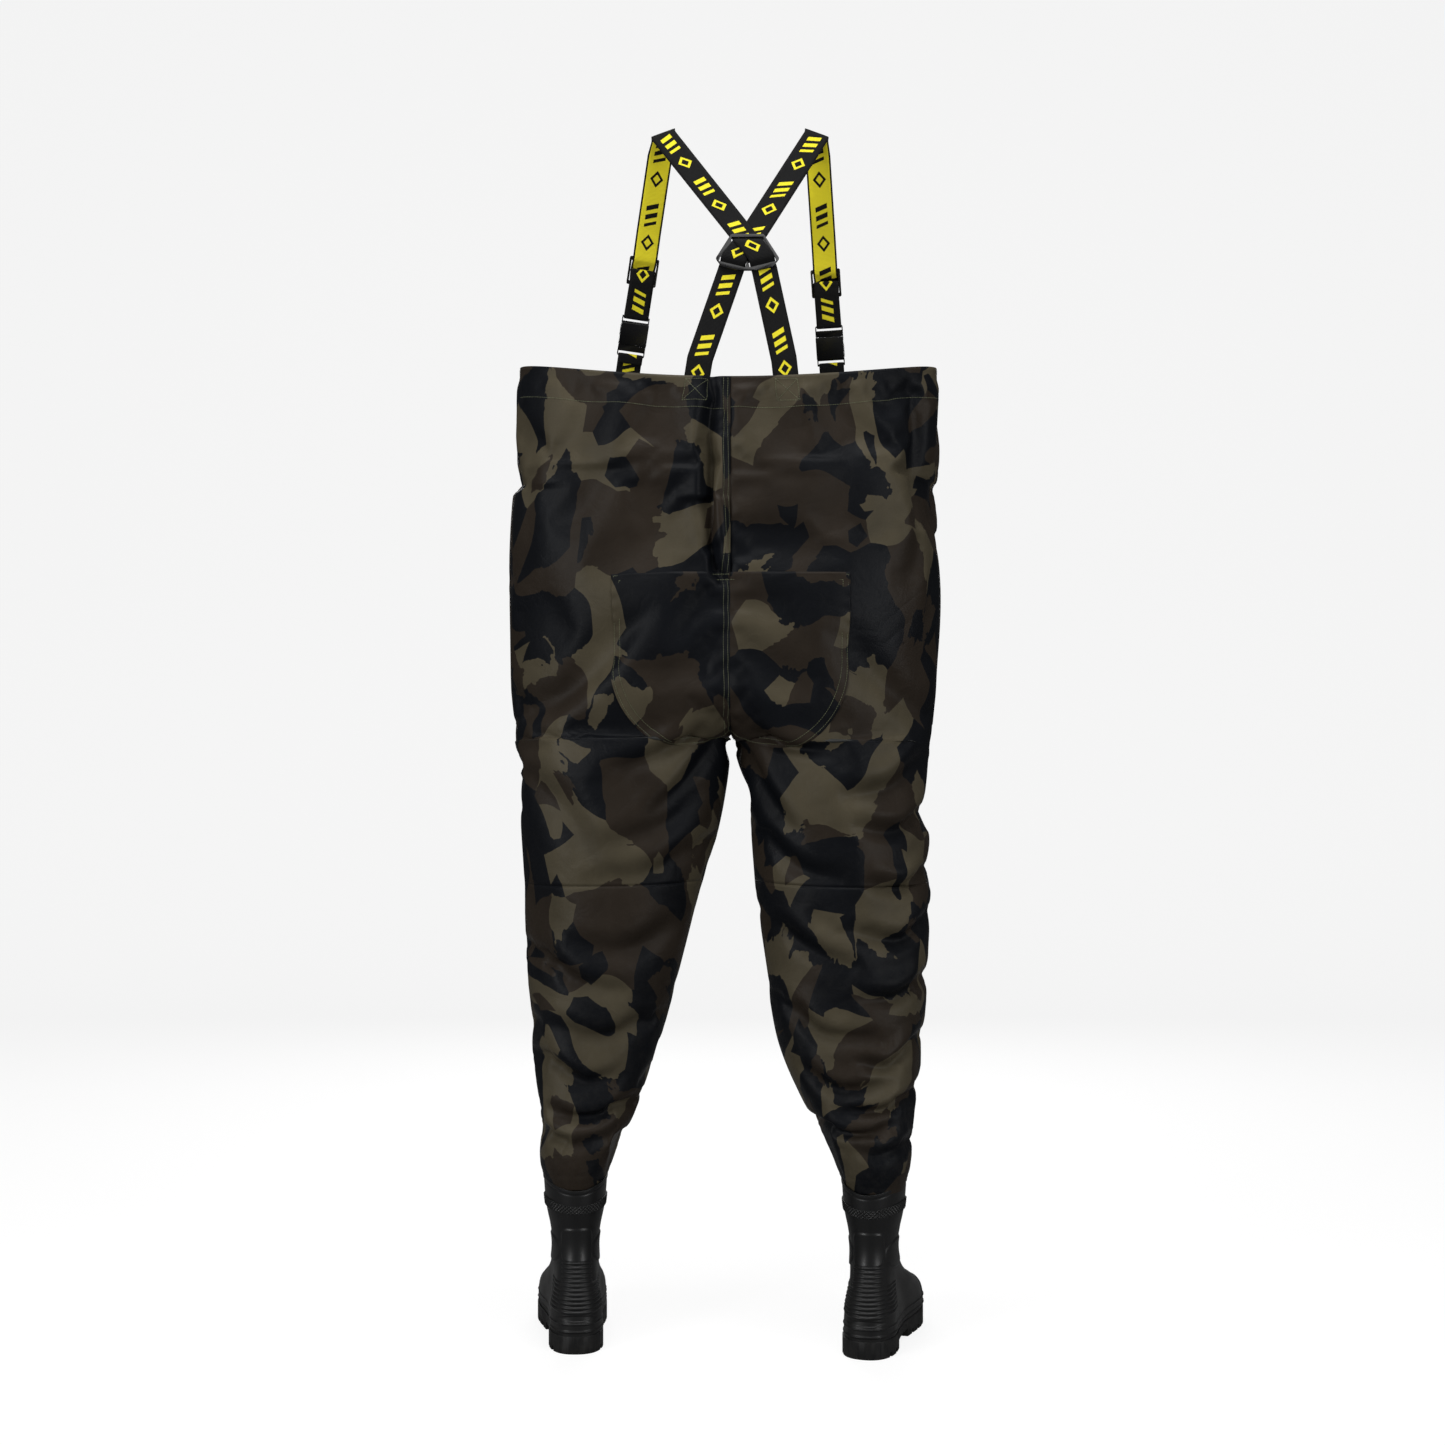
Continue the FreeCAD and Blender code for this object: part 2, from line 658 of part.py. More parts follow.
def make_back_straps():
    """Back runs: each crosses to the other side and passes through the cross plate."""
    half = size("web_width") / 2
    layer = {-1: -1.1, 1: 1.1}
    slant = math.radians(15)
    for side, half_name in ((-1, "left"), (1, "right")):
        wide_level = half / math.cos(math.radians(30))
        lower_half = Vector(math.cos(slant), 0, -side * math.sin(slant)) * half
        lift = layer[side]
        low_slot = half + 2.6
        plate_path = [
            (side * 6, 5.4, 28, Vector(wide_level, 0, 0)),
            (side * 1.2, 3.8, 22, Vector(wide_level, 0, 0)),
            (-side * 1.2, -3.8, 16, Vector(wide_level, 0, 0)),
            (-side * 4, -5.0, 11, Vector(wide_level, 0, 0)),
            (-side * (low_slot - 3), -5.0, -8, lower_half),
            (-side * (low_slot - 0.8), -3.8, -13.5, lower_half),
            (-side * (low_slot + 0.8), 3.8, -19.5, lower_half),
            (-side * (low_slot + 3), 5.4, -26, lower_half),
        ]
        stations = [(fold_centre(side, front, drop), fold_half(side)) for front, drop in
                    ((-0.4, 7.0), (-3.6, 8.2), (-6.2, 12))]
        for across, out, up, wide in plate_path:
            centre = PLATE_PLACE.multVec(Vector(across, out + lift, up))
            stations.append((centre, PLATE_PLACE.Rotation.multVec(wide)))
        wide = Vector(math.cos(slant * 0.9), 0, -side * math.sin(slant * 0.9)) * half
        for height, across in ((1462, ANCHOR_ACROSS[side]), (1380, ANCHOR_END[side])):
            rear = -inside_bib(across)
            stations.append((Vector(across, rear, height), wide))
        ribbon(f"strap_back_{half_name}", stations)


# ---------------------------------------------------------------- moulded hardware


def plane_of(body, role):
    """One of a body's own origin planes."""
    return next(feature for feature in body.Origin.OriginFeatures if feature.Role == role)


def new_body(node):
    """An empty body for one sub-part."""
    body = doc.addObject("PartDesign::Body", node)
    body.Label = node
    return body


def place_sketch(body, name, offset=(0, 0, 0), turn_deg=0.0):
    """A sketch on the body's XZ plane: its own x goes across and its y up."""
    sketch = body.newObject("Sketcher::SketchObject", f"{body.Name}_{name}")
    sketch.AttachmentSupport = [(plane_of(body, "XZ_Plane"), "")]
    sketch.MapMode = "FlatFace"
    sketch.AttachmentOffset = Placement(Vector(), Rotation(Vector(0, 0, 1), turn_deg))
    for letter, expression in zip("xyz", offset):
        sketch.setExpression(f"AttachmentOffset.Base.{letter}", str(expression))
    return sketch


def outline(sketch, corners):
    """A closed polygon whose every corner is held to the sheet: corners are (across, up) expressions."""
    spots = [[float(sketch.evalExpression(str(text))) for text in corner] for corner in corners]
    count = len(spots)
    for place, (across, up) in enumerate(spots):
        after = spots[(place + 1) % count]
        sketch.addGeometry(Part.LineSegment(Vector(across, up, 0), Vector(*after, 0)))
    for place in range(count):
        nxt = (place + 1) % count
        sketch.addConstraint(Sketcher.Constraint("Coincident", place, 2, nxt, 1))
    for place, corner in enumerate(corners):
        for kind, text, value in zip(("DistanceX", "DistanceY"), corner, spots[place]):
            if value >= 0:
                held = Sketcher.Constraint(kind, -1, 1, place, 1, value)
            else:
                held = Sketcher.Constraint(kind, place, 1, -1, 1, -value)
            index = sketch.addConstraint(held)
            sign = "" if value >= 0 else "-"
            sketch.setExpression(f"Constraints[{index}]", f"{sign}({text})")
    return sketch


def box_corners(half_wide, low, high):
    """Corner expressions of a rectangle centred across."""
    return [(f"-({half_wide})", low), (half_wide, low), (half_wide, high), (f"-({half_wide})", high)]


def pad(body, name, sketch, thick):
    """Adds material both ways from the sketch."""
    feature = body.newObject("PartDesign::Pad", f"{body.Name}_{name}")
    feature.Profile = sketch
    feature.SideType = "Symmetric"
    feature.setExpression("Length", thick)
    return feature


def pocket(body, name, sketch, thick):
    """Takes material away both ways from the sketch."""
    feature = body.newObject("PartDesign::Pocket", f"{body.Name}_{name}")
    feature.Profile = sketch
    feature.SideType = "Symmetric"
    feature.setExpression("Length", thick)
    return feature


def round_corners(body, radius, corners):
    """Rounds the edges that run through the thickness at the given outline corners."""
    doc.recompute()
    base = body.Tip
    names = []
    for place, edge in enumerate(base.Shape.Edges, start=1):
        start, end = edge.Vertexes[0].Point, edge.Vertexes[-1].Point
        through = abs(start.x - end.x) < 1e-6 and abs(start.z - end.z) < 1e-6
        nearest = min(math.hypot(start.x - across, start.z - up) for across, up in corners)
        if through and nearest < 0.01:
            names.append(f"Edge{place}")
    feature = body.newObject("PartDesign::Fillet", f"{body.Name}_rounds")
    feature.Base = (base, names)
    feature.Radius = radius
    return feature


def both_sides(half_wide, *heights):
    """Outline corners at the same distance either side, at each height."""
    return [(sign * half_wide, up) for up in heights for sign in (-1, 1)]


def keep_body(body, placement):
    """Puts a finished body in its place."""
    body.Placement = hung(placement)
    NODES.append(body)


def make_cross_plate():
    """Plate with one slot for both straps above and a slanted slot for each below."""
    body = new_body("cross_plate")
    face = place_sketch(body, "face")
    web = size("web_width") / 2
    edge = [(5, 28.5), (28, -11), (19, -24), (-5, -30)]
    half_edge = [(f"Sizes.web_width / 2 + {past}", up) for past, up in edge]
    outline(face, half_edge + [(f"-({across})", up) for across, up in reversed(half_edge)])
    pad(body, "plate", face, "Sizes.plate_thick")
    round_corners(body, 4, [spot for past, up in edge for spot in both_sides(web + past, up)])
    top = place_sketch(body, "top_slot", (0, "19", 0))
    outline(top, box_corners("Sizes.web_width / 2 + 4.6", "-Sizes.slot_tall / 2 - 2.1",
                             "Sizes.slot_tall / 2 + 2.1"))
    pocket(body, "top_opening", top, "Sizes.plate_thick * 3")
    for name, sign in (("left", -1), ("right", 1)):
        middle = f"{sign} * (Sizes.web_width / 2 + 2.6)"
        slot = place_sketch(body, f"{name}_slot", (middle, "-16.5", 0), sign * 15)
        outline(slot, box_corners("Sizes.web_width / 2 + 0.9", "-Sizes.slot_tall / 2 - 1.6",
                                  "Sizes.slot_tall / 2 + 1.6"))
        pocket(body, f"{name}_opening", slot, "Sizes.plate_thick * 3")
    keep_body(body, PLATE_PLACE)


def make_ladder_slides():
    """Three bars between two rails: the strap weaves through the two slots."""
    for side, half_name in ((-1, "left"), (1, "right")):
        body = new_body(f"ladder_slide_{half_name}")
        frame = place_sketch(body, "frame")
        tall = "Sizes.slide_tall / 2"
        outline(frame, box_corners(f"{SLIDE_WIDE} / 2", f"-{tall}", tall))
        pad(body, "slab", frame, "Sizes.slide_thick")
        inner, outer_edge = "Sizes.slide_middle / 2", "Sizes.slide_tall / 2 - Sizes.slide_bar"
        for name, low, high in (("upper", inner, outer_edge),
                                ("lower", f"-({outer_edge})", f"-{inner}")):
            slot = place_sketch(body, f"{name}_slot")
            outline(slot, box_corners(f"{SLOT_WIDE} / 2", low, high))
            pocket(body, f"{name}_opening", slot, "Sizes.slide_thick * 3")
        tall_half = size("slide_tall") / 2
        round_corners(body, 2.6, both_sides((slot_wide() / 2 + size("slide_rail")), -tall_half, tall_half))
        line = LINES[side]
        keep_body(body, line.placement(line.along(SLIDE_HEIGHT[side])))


def make_buckle_sockets():
    """Socket half: a bay for the prongs, side windows that catch them, and a webbing slot."""
    for side, half_name in ((-1, "left"), (1, "right")):
        body = new_body(f"buckle_socket_{half_name}")
        block = place_sketch(body, "block")
        outline(block, box_corners(f"{BUCKLE_WIDE} / 2", "0.4", "Sizes.socket_long"))
        pad(body, "slab", block, BUCKLE_THICK)
        bay = place_sketch(body, "bay")
        outline(bay, box_corners(f"{BAY_WIDE} / 2", "-2", "Sizes.bay_long"))
        pocket(body, "bay_room", bay, "Sizes.bay_tall")
        window = place_sketch(body, "window")
        outline(window, box_corners(BUCKLE_WIDE, "Sizes.window_start", "Sizes.bay_long"))
        pocket(body, "windows", window, "Sizes.bay_tall")
        place = "Sizes.socket_long - Sizes.slot_tall / 2 - Sizes.bar_tall"
        slot = place_sketch(body, "slot", (0, place, 0))
        outline(slot, box_corners(f"{SLOT_WIDE} / 2", "-Sizes.slot_tall / 2",
                                  "Sizes.slot_tall / 2"))
        pocket(body, "opening", slot, f"{BUCKLE_THICK} * 2")
        bevel = place_sketch(body, "bevel", (0, 0, f"{BUCKLE_THICK} / 2 + 1"))
        outline(bevel, box_corners(BUCKLE_WIDE, "Sizes.socket_long - 11",
                                   "Sizes.socket_long + 1"))
        pocket(body, "front_step", bevel, f"{BUCKLE_THICK} + 2 - Sizes.bar_tall")
        rear = place_sketch(body, "rear_bevel", (0, 0, f"-{BUCKLE_THICK} / 2 - 1"))
        outline(rear, box_corners(BUCKLE_WIDE, "Sizes.socket_long - 11",
                                  "Sizes.socket_long + 1"))
        pocket(body, "rear_step", rear, f"{BUCKLE_THICK} + 2 - Sizes.bar_tall")
        line = LINES[side]
        mouth = buckle_slots(side)[0]
        keep_body(body, line.placement(mouth, flipped=side > 0))


PRONG_ROOT = slot_wide() / 2 + size("buckle_rail") - size("bay_wall") - 6.2


def make_buckle_bases():
    """Base half: a webbing bar, and a guide tongue between the two prongs."""
    for side, half_name in ((-1, "left"), (1, "right")):
        body = new_body(f"buckle_base_{half_name}")
        block = place_sketch(body, "block")
        outline(block, box_corners(f"{BUCKLE_WIDE} / 2", "-Sizes.base_long", "0"))
        pad(body, "slab", block, "Sizes.base_thick")
        place = "-(Sizes.base_long - Sizes.slot_tall / 2 - Sizes.bar_tall)"
        slot = place_sketch(body, "slot", (0, place, 0))
        outline(slot, box_corners(f"{SLOT_WIDE} / 2", "-Sizes.slot_tall / 2",
                                  "Sizes.slot_tall / 2"))
        pocket(body, "opening", slot, BUCKLE_THICK)
        tongue = place_sketch(body, "tongue")
        outline(tongue, box_corners("2.4", "-1", "20"))
        pad(body, "guide", tongue, "Sizes.base_thick")
        round_corners(body, 4, both_sides(slot_wide() / 2 + size("buckle_rail"), -size("base_long")))
        line = LINES[side]
        mouth = buckle_slots(side)[0]
        keep_body(body, line.placement(mouth, flipped=side > 0))


def make_prongs():
    """Squeeze prongs: a spring arm with a shallow barb that the socket's window catches."""
    for side, half_name in ((-1, "left"), (1, "right")):
        line = LINES[side]
        mouth = buckle_slots(side)[0]
        for hand, hand_name in ((-1, "a"), (1, "b")):
            body = new_body(f"prong_{half_name}_{hand_name}")
            arm = place_sketch(body, "arm")
            outline(arm, [
                (PRONG_ROOT - 3, 0.9), (PRONG_ROOT + 3, 0.9), (f"{BAY_WIDE} / 2 - 0.6", 8),
                (f"{BAY_WIDE} / 2 - 0.6", "Sizes.window_start + 1.2"),
                (f"{BAY_WIDE} / 2 + 1.5", 25), (f"{BAY_WIDE} / 2 + 0.4", 28),
                (f"{BAY_WIDE} / 2 - 3", "Sizes.bay_long - 1.2"),
                (f"{BAY_WIDE} / 2 - 5.5", "Sizes.bay_long - 1.6"),
                (f"{BAY_WIDE} / 2 - 5.2", 12),
            ])
            pad(body, "arm_slab", arm, "Sizes.bay_tall - Sizes.prong_clear")
            turn = Placement(Vector(), Rotation(Vector(0, 0, 1), 0 if hand > 0 else 180))
            keep_body(body, line.placement(mouth, flipped=side > 0).multiply(turn))


make_trunk_panels()
make_leg_panels()
make_hem_facing()
make_seam_strips()
make_seat_patches()
make_cuff_bands()
make_boots()
make_front_straps()
make_back_straps()
make_cross_plate()
make_ladder_slides()
make_buckle_sockets()
make_buckle_bases()
make_prongs()
doc.recompute()

# ---------------------------------------------------------------- checks and export

for thing in doc.Objects:
    faults = [state for state in thing.State if state in ("Invalid", "Error")]
    if faults:
        raise RuntimeError(f"{thing.Label} is {faults}")
os.makedirs("parts", exist_ok=True)
for node in NODES:
    shape = node.Shape
    if shape.isNull() or not shape.isValid() or shape.Volume <= 0 or len(shape.Solids) != 1:
        raise RuntimeError(f"{node.Label} has no single valid solid")
    shape.exportStep(f"parts/{node.Label}.step")
    box = shape.BoundBox
    print(f"{node.Label:24s} {shape.Volume / 1000:9.2f} cm3  z {box.ZMin:8.1f} {box.ZMax:8.1f}")
print(len(NODES), "sub-parts")
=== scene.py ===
# %% [markdown]
# # Chest waders
# A pair of chest waders is a cloth bib and two legs in one watertight skin, welded to a pair of moulded
# boots and hung from two crossed elastic straps. The model is built in that order: cloth first, because
# everything sewn on it has to follow its folds, then boots, straps and the moulded hardware.
# Each shape is a function of two parameters worked out on a grid with numpy, so that every fold, rib and
# stitch is a number that can be changed and run again.

# %% Frame
import json
import math

import bmesh
import bpy
import numpy as np
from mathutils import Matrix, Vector


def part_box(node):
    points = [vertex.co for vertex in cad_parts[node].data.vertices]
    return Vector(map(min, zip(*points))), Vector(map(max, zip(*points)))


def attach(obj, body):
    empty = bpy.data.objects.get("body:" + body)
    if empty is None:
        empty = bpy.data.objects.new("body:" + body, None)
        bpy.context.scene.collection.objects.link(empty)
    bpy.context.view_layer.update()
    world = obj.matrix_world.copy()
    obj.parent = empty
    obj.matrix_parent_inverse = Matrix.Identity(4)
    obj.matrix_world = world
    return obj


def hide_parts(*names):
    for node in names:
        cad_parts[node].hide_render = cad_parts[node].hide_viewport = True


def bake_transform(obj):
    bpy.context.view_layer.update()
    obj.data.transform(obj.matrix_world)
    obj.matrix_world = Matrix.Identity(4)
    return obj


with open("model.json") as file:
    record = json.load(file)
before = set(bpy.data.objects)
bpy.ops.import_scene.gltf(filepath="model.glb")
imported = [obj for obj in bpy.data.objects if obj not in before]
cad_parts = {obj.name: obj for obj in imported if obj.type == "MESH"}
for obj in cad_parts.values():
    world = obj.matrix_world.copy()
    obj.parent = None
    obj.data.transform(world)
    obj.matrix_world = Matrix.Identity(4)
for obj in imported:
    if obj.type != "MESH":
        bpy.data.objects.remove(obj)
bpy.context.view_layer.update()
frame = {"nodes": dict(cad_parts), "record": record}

facing_low, facing_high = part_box("hem_facing")
MIDDLE = (facing_low[0] + facing_high[0]) / 2
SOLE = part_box("outsole_left")[0][2]
ORIGIN = np.array([MIDDLE, 0.0, SOLE])
SIDES = (("left", -1), ("right", 1))
print("middle of the bib at", round(MIDDLE, 4), "soles at", round(SOLE, 4))

# %% [markdown]
# ## Camera, floor and light
# The waders hang in front of a plain pale sweep and are lit softly from all round, so that the black
# rubber keeps its highlights and the cloth its satin. The paper and the sky glow only for the camera. A
# camera at chest height with a long lens keeps the legs straight. A sweep without a corner is a profile
# pulled sideways: flat floor, an arc, a flat wall.

# %% Camera, floor and light
LENS_MM = 54
VIEW_FROM = ORIGIN + np.array([-0.011, -3.29, 0.93])
SKY_LIGHT, PAPER_GLOW, PAPER_WHITE = 0.17, 0.85, 0.20


def plain_material(name, colour, glow):
    """A plain material for the studio only, with a glow that the camera sees but that lights nothing."""
    material = bpy.data.materials.new(name)
    material.use_nodes = True
    shader = material.node_tree.nodes["Principled BSDF"]
    shader.inputs["Base Color"].default_value = (*colour, 1)
    shader.inputs["Roughness"].default_value = 0.8
    shader.inputs["Specular IOR Level"].default_value = 0.2
    shader.inputs["Emission Color"].default_value = (1, 1, 1, 1)
    path = material.node_tree.nodes.new("ShaderNodeLightPath")
    seen = material.node_tree.nodes.new("ShaderNodeMath")
    seen.operation = "MULTIPLY"
    seen.inputs[1].default_value = glow
    material.node_tree.links.new(path.outputs["Is Camera Ray"], seen.inputs[0])
    material.node_tree.links.new(seen.outputs[0], shader.inputs["Emission Strength"])
    return material


def grid_faces(rows, columns, closed=False):
    """Corner numbers of the quads between rows x columns points, closed round the columns if asked."""
    down = np.arange(rows - 1)[:, None] * columns
    along = np.arange(columns if closed else columns - 1)[None, :]
    after = (along + 1) % columns
    quads = np.stack([down + along, down + after, down + columns + after, down + columns + along], -1)
    return quads.reshape(-1, 4)


def mesh_object(name, points, faces, uv=None, inside_out=False):
    """An object from an array of points and of quads; uv gives each quad's four corners a place."""
    if inside_out:
        faces = faces[:, ::-1]
        uv = None if uv is None else uv[:, ::-1]
    mesh = bpy.data.meshes.new(name)
    mesh.from_pydata(np.asarray(points, float).reshape(-1, 3).tolist(), [], faces.tolist())
    mesh.polygons.foreach_set("use_smooth", np.full(len(faces), True))
    if uv is not None:
        layer = mesh.uv_layers.new(name="UVMap")
        layer.data.foreach_set("uv", np.asarray(uv, np.float32).ravel())
    mesh.update()
    thing = bpy.data.objects.new(name, mesh)
    bpy.context.scene.collection.objects.link(thing)
    return thing


def corner_uv(uv_grid):
    """The uv of every quad's corners, from a grid with one more column than a closed surface has."""
    top_left, top_right = uv_grid[:-1, :-1], uv_grid[:-1, 1:]
    low_left, low_right = uv_grid[1:, :-1], uv_grid[1:, 1:]
    return np.stack([top_left, top_right, low_right, low_left], 2).reshape(-1, 4, 2)


def make_studio():
    """Sweep: floor, an arc of 1.5 m and a wall, as (y, z) pairs pulled from side to side."""
    turn = np.linspace(0, math.pi / 2, 24)
    arc = np.stack([3.5 + 1.5 * np.sin(turn), SOLE + 1.5 - 1.5 * np.cos(turn)], 1)
    profile = np.concatenate([[[-9.0, SOLE]], arc, [[5.0, SOLE + 9.0]]])
    across = np.linspace(-12, 12, 3)
    points = np.stack([
        np.broadcast_to(across[None, :], (len(profile), 3)),
        np.broadcast_to(profile[:, :1], (len(profile), 3)),
        np.broadcast_to(profile[:, 1:], (len(profile), 3)),
    ], -1)
    sweep = mesh_object("studio_sweep", points, grid_faces(len(profile), 3))
    sweep.data.materials.append(plain_material("studio_paper", (PAPER_WHITE,) * 3, PAPER_GLOW))
    world = bpy.data.worlds.new("studio_world")
    world.use_nodes = True
    world.node_tree.nodes["Background"].inputs["Color"].default_value = (1, 1, 1, 1)
    nodes, links = world.node_tree.nodes, world.node_tree.links
    path, bright = nodes.new("ShaderNodeLightPath"), nodes.new("ShaderNodeMath")
    bright.operation = "MULTIPLY_ADD"
    bright.inputs[1].default_value, bright.inputs[2].default_value = 1 - SKY_LIGHT, SKY_LIGHT
    links.new(path.outputs["Is Camera Ray"], bright.inputs[0])
    links.new(bright.outputs[0], nodes["Background"].inputs["Strength"])
    bpy.context.scene.world = world
    lamps = {
        "key_left": ((-2.6, -2.6, 0.5), 54, 1.2),
        "key_right": ((2.6, -2.4, 0.2), 34, 1.2),
        "top": ((0.0, -0.8, 2.2), 40, 2.0),
        "rim_back": ((0.0, 2.6, 1.2), 40, 2.0),
    }
    aim = ORIGIN + np.array([0, 0, 0.9])
    for name, (offset, watts, wide) in lamps.items():
        light = bpy.data.lights.new(name, "AREA")
        light.energy, light.size = watts, wide
        lamp = bpy.data.objects.new(name, light)
        lamp.location = aim + np.array(offset)
        lamp.rotation_mode = "QUATERNION"
        lamp.rotation_quaternion = Vector(-np.array(offset)).to_track_quat("-Z", "Y")
        bpy.context.scene.collection.objects.link(lamp)


def make_camera():
    """A level camera behind the wearer's back, looking along +Y."""
    lens = bpy.data.cameras.new("camera")
    lens.lens, lens.sensor_width = LENS_MM, 36
    camera = bpy.data.objects.new("camera", lens)
    camera.location = VIEW_FROM
    camera.rotation_euler = (math.pi / 2, 0, 0)
    bpy.context.scene.collection.objects.link(camera)
    bpy.context.scene.camera = camera


bpy.context.scene.view_settings.view_transform = "Standard"
make_studio()
make_camera()

# %% [markdown]
# ## The shape of the cloth
# The bib is cut wide and nearly flat, so its level outline is a superellipse: |x/a|^n + |y/b|^n = 1 with n
# a little over 2. A leg's outline is one too, closed round. Between the seat and the legs the half of the
# trunk has to become a whole leg. Both outlines are walked the same way, from the back round the outer
# side to the front, so a row between them is a mix, and the rows run down a quarter ellipse at the crotch.
# A smooth curve through a few listed stations gives the sizes at every height.

# %% The shape of the cloth
HEM_CORNER, HEM_CENTRE = 1.464, 1.436
SADDLE_TOP, SADDLE_LOW = 0.985, 0.904
MID_THIGH = 0.69
CUFF_LOW = 0.236
TRUNK = {  # height: half width, half depth
    -1: {1.500: (0.316, 0.124), 1.359: (0.320, 0.128), 1.237: (0.324, 0.130), 1.116: (0.324, 0.131),
         0.994: (0.321, 0.129), 0.880: (0.314, 0.123)},
    1: {1.500: (0.314, 0.124), 1.359: (0.312, 0.128), 1.237: (0.311, 0.130), 1.116: (0.313, 0.131),
        0.994: (0.303, 0.129), 0.880: (0.295, 0.123)},
}
LEG = {  # height: inner edge, outer edge, half depth, how far back
    -1: {1.000: (0.004, 0.322, 0.118, 0.000), 0.904: (0.002, 0.318, 0.118, 0.000),
         0.873: (0.003, 0.315, 0.117, 0.001), 0.812: (0.013, 0.312, 0.115, 0.001),
         0.691: (0.047, 0.305, 0.107, 0.002), 0.569: (0.081, 0.300, 0.097, 0.005),
         0.448: (0.116, 0.291, 0.084, 0.008), 0.327: (0.154, 0.283, 0.073, 0.012),
         0.272: (0.178, 0.284, 0.068, 0.014), 0.236: (0.190, 0.276, 0.057, 0.016)},
    1: {1.000: (0.010, 0.303, 0.118, 0.000), 0.904: (0.008, 0.298, 0.118, 0.001),
        0.873: (0.013, 0.295, 0.117, 0.002), 0.812: (0.026, 0.295, 0.115, 0.003),
        0.691: (0.045, 0.306, 0.107, 0.008), 0.569: (0.063, 0.300, 0.097, 0.016),
        0.448: (0.082, 0.288, 0.084, 0.026), 0.327: (0.134, 0.270, 0.073, 0.036),
        0.272: (0.160, 0.268, 0.068, 0.042), 0.236: (0.172, 0.260, 0.057, 0.046)},
}
TRUNK_POWER, LEG_POWER = 2.6, 2.15


def through(stations, values, where):
    """A smooth curve through points: on each stretch the cubic that has the points' own mean slopes."""
    stations, values = np.asarray(stations, float), np.asarray(values, float)
    slope = np.gradient(values, stations, axis=0)
    at = np.clip(np.searchsorted(stations, where, side="right") - 1, 0, len(stations) - 2)
    span = stations[at + 1] - stations[at]
    share = np.clip((where - stations[at]) / span, 0, 1)
    share, span = (part.reshape(part.shape + (1,) * (values.ndim - 1)) for part in (share, span))
    rise = share * share * (3 - 2 * share)
    start = share * (1 - share) ** 2 * span
    end = share * share * (share - 1) * span
    return values[at] * (1 - rise) + values[at + 1] * rise + slope[at] * start + slope[at + 1] * end


def sizes_at(table, height):
    """The stations' sizes at each height, one column per size."""
    heights = sorted(table)
    return through(heights, [table[key] for key in heights], np.asarray(height, float))


def even_steps(curve, count):
    """Points spread evenly by length along a curve of many points, by straight interpolation."""
    steps = np.linalg.norm(np.diff(curve, axis=0), axis=1)
    length = np.concatenate([[0], np.cumsum(steps)])
    wanted = np.linspace(0, length[-1], count)
    return np.stack([np.interp(wanted, length, curve[:, axis]) for axis in range(3)], 1), length[-1]


def signed_power(value, power):
    """sign(value) |value|^power."""
    return np.sign(value) * np.abs(value) ** power


def cloth_rows(step):
    """Row heights, mixes and saddle shares from hem to cuff, at most a step apart."""
    trunk = np.linspace(1.45, SADDLE_TOP, int(round((1.45 - SADDLE_TOP) / step)) + 1)
    turn = np.linspace(0, math.pi / 2, max(8, int(round(0.15 / step))) + 1)[1:]
    saddle = SADDLE_TOP - (SADDLE_TOP - SADDLE_LOW) * np.sin(turn)
    leg = np.linspace(SADDLE_LOW, CUFF_LOW, int(round((SADDLE_LOW - CUFF_LOW) / step)) + 1)[1:]
    heights = np.concatenate([trunk, saddle, leg])
    mixes = np.concatenate([0 * trunk, 1 - np.cos(turn), 0 * leg + 1])
    return heights, mixes


def cloth_grid(side, step):
    """Rows x columns of points for one half of the garment, each row an even walk back-outer-front."""
    heights, mixes = cloth_rows(step)
    columns = int(round(0.86 / step)) + 1
    turn = np.linspace(0, 1, 400)
    half_turn, whole_turn = math.pi * (turn - 0.5), 2 * math.pi * (turn - 0.5)
    rows, lengths = [], []
    for height, mix in zip(heights, mixes):
        wide, deep = sizes_at(TRUNK[side], height)
        inner, outer, leg_deep, back = sizes_at(LEG[side], height)
        trunk = np.stack([
            side * wide * signed_power(np.cos(half_turn), 2 / TRUNK_POWER),
            deep * signed_power(np.sin(half_turn), 2 / TRUNK_POWER), 0 * turn], 1)
        middle, half = (inner + outer) / 2, (outer - inner) / 2
        leg = np.stack([
            side * (middle + half * signed_power(np.cos(whole_turn), 2 / LEG_POWER)),
            leg_deep * signed_power(np.sin(whole_turn), 2 / LEG_POWER) - back, 0 * turn], 1)
        trunk, trunk_length = even_steps(trunk, columns)
        leg, leg_length = even_steps(leg, columns)
        rows.append(trunk * (1 - mix) + leg * mix + np.array([0, 0, height]))
        lengths.append(trunk_length * (1 - mix) + leg_length * mix)
    points = np.array(rows)
    dip = HEM_CENTRE + (HEM_CORNER - HEM_CENTRE) * (points[..., 0] / 0.315) ** 2 - 1.45
    points[..., 2] += dip * np.clip((heights[:, None] - 1.30) / 0.15, 0, 1) ** 2
    return points, heights, np.array(lengths)


def unit(vectors):
    """Vectors made one long."""
    return vectors / np.maximum(np.linalg.norm(vectors, axis=-1, keepdims=True), 1e-9)


def outward(points, side):
    """The outward normal of a cloth grid: the cross product of its two directions."""
    down = np.gradient(points, axis=0)
    along = np.gradient(points, axis=1)
    return unit(np.cross(along, down)) * -side


for side_name, side in SIDES:
    test_points, test_heights, test_lengths = cloth_grid(side, 0.02)
    print(side_name, "half girth at hem", round(test_lengths[0], 3), "leg girth at cuff",
          round(test_lengths[-1], 3), "x from", test_points[..., 0].min().round(3),
          "to", test_points[..., 0].max().round(3))
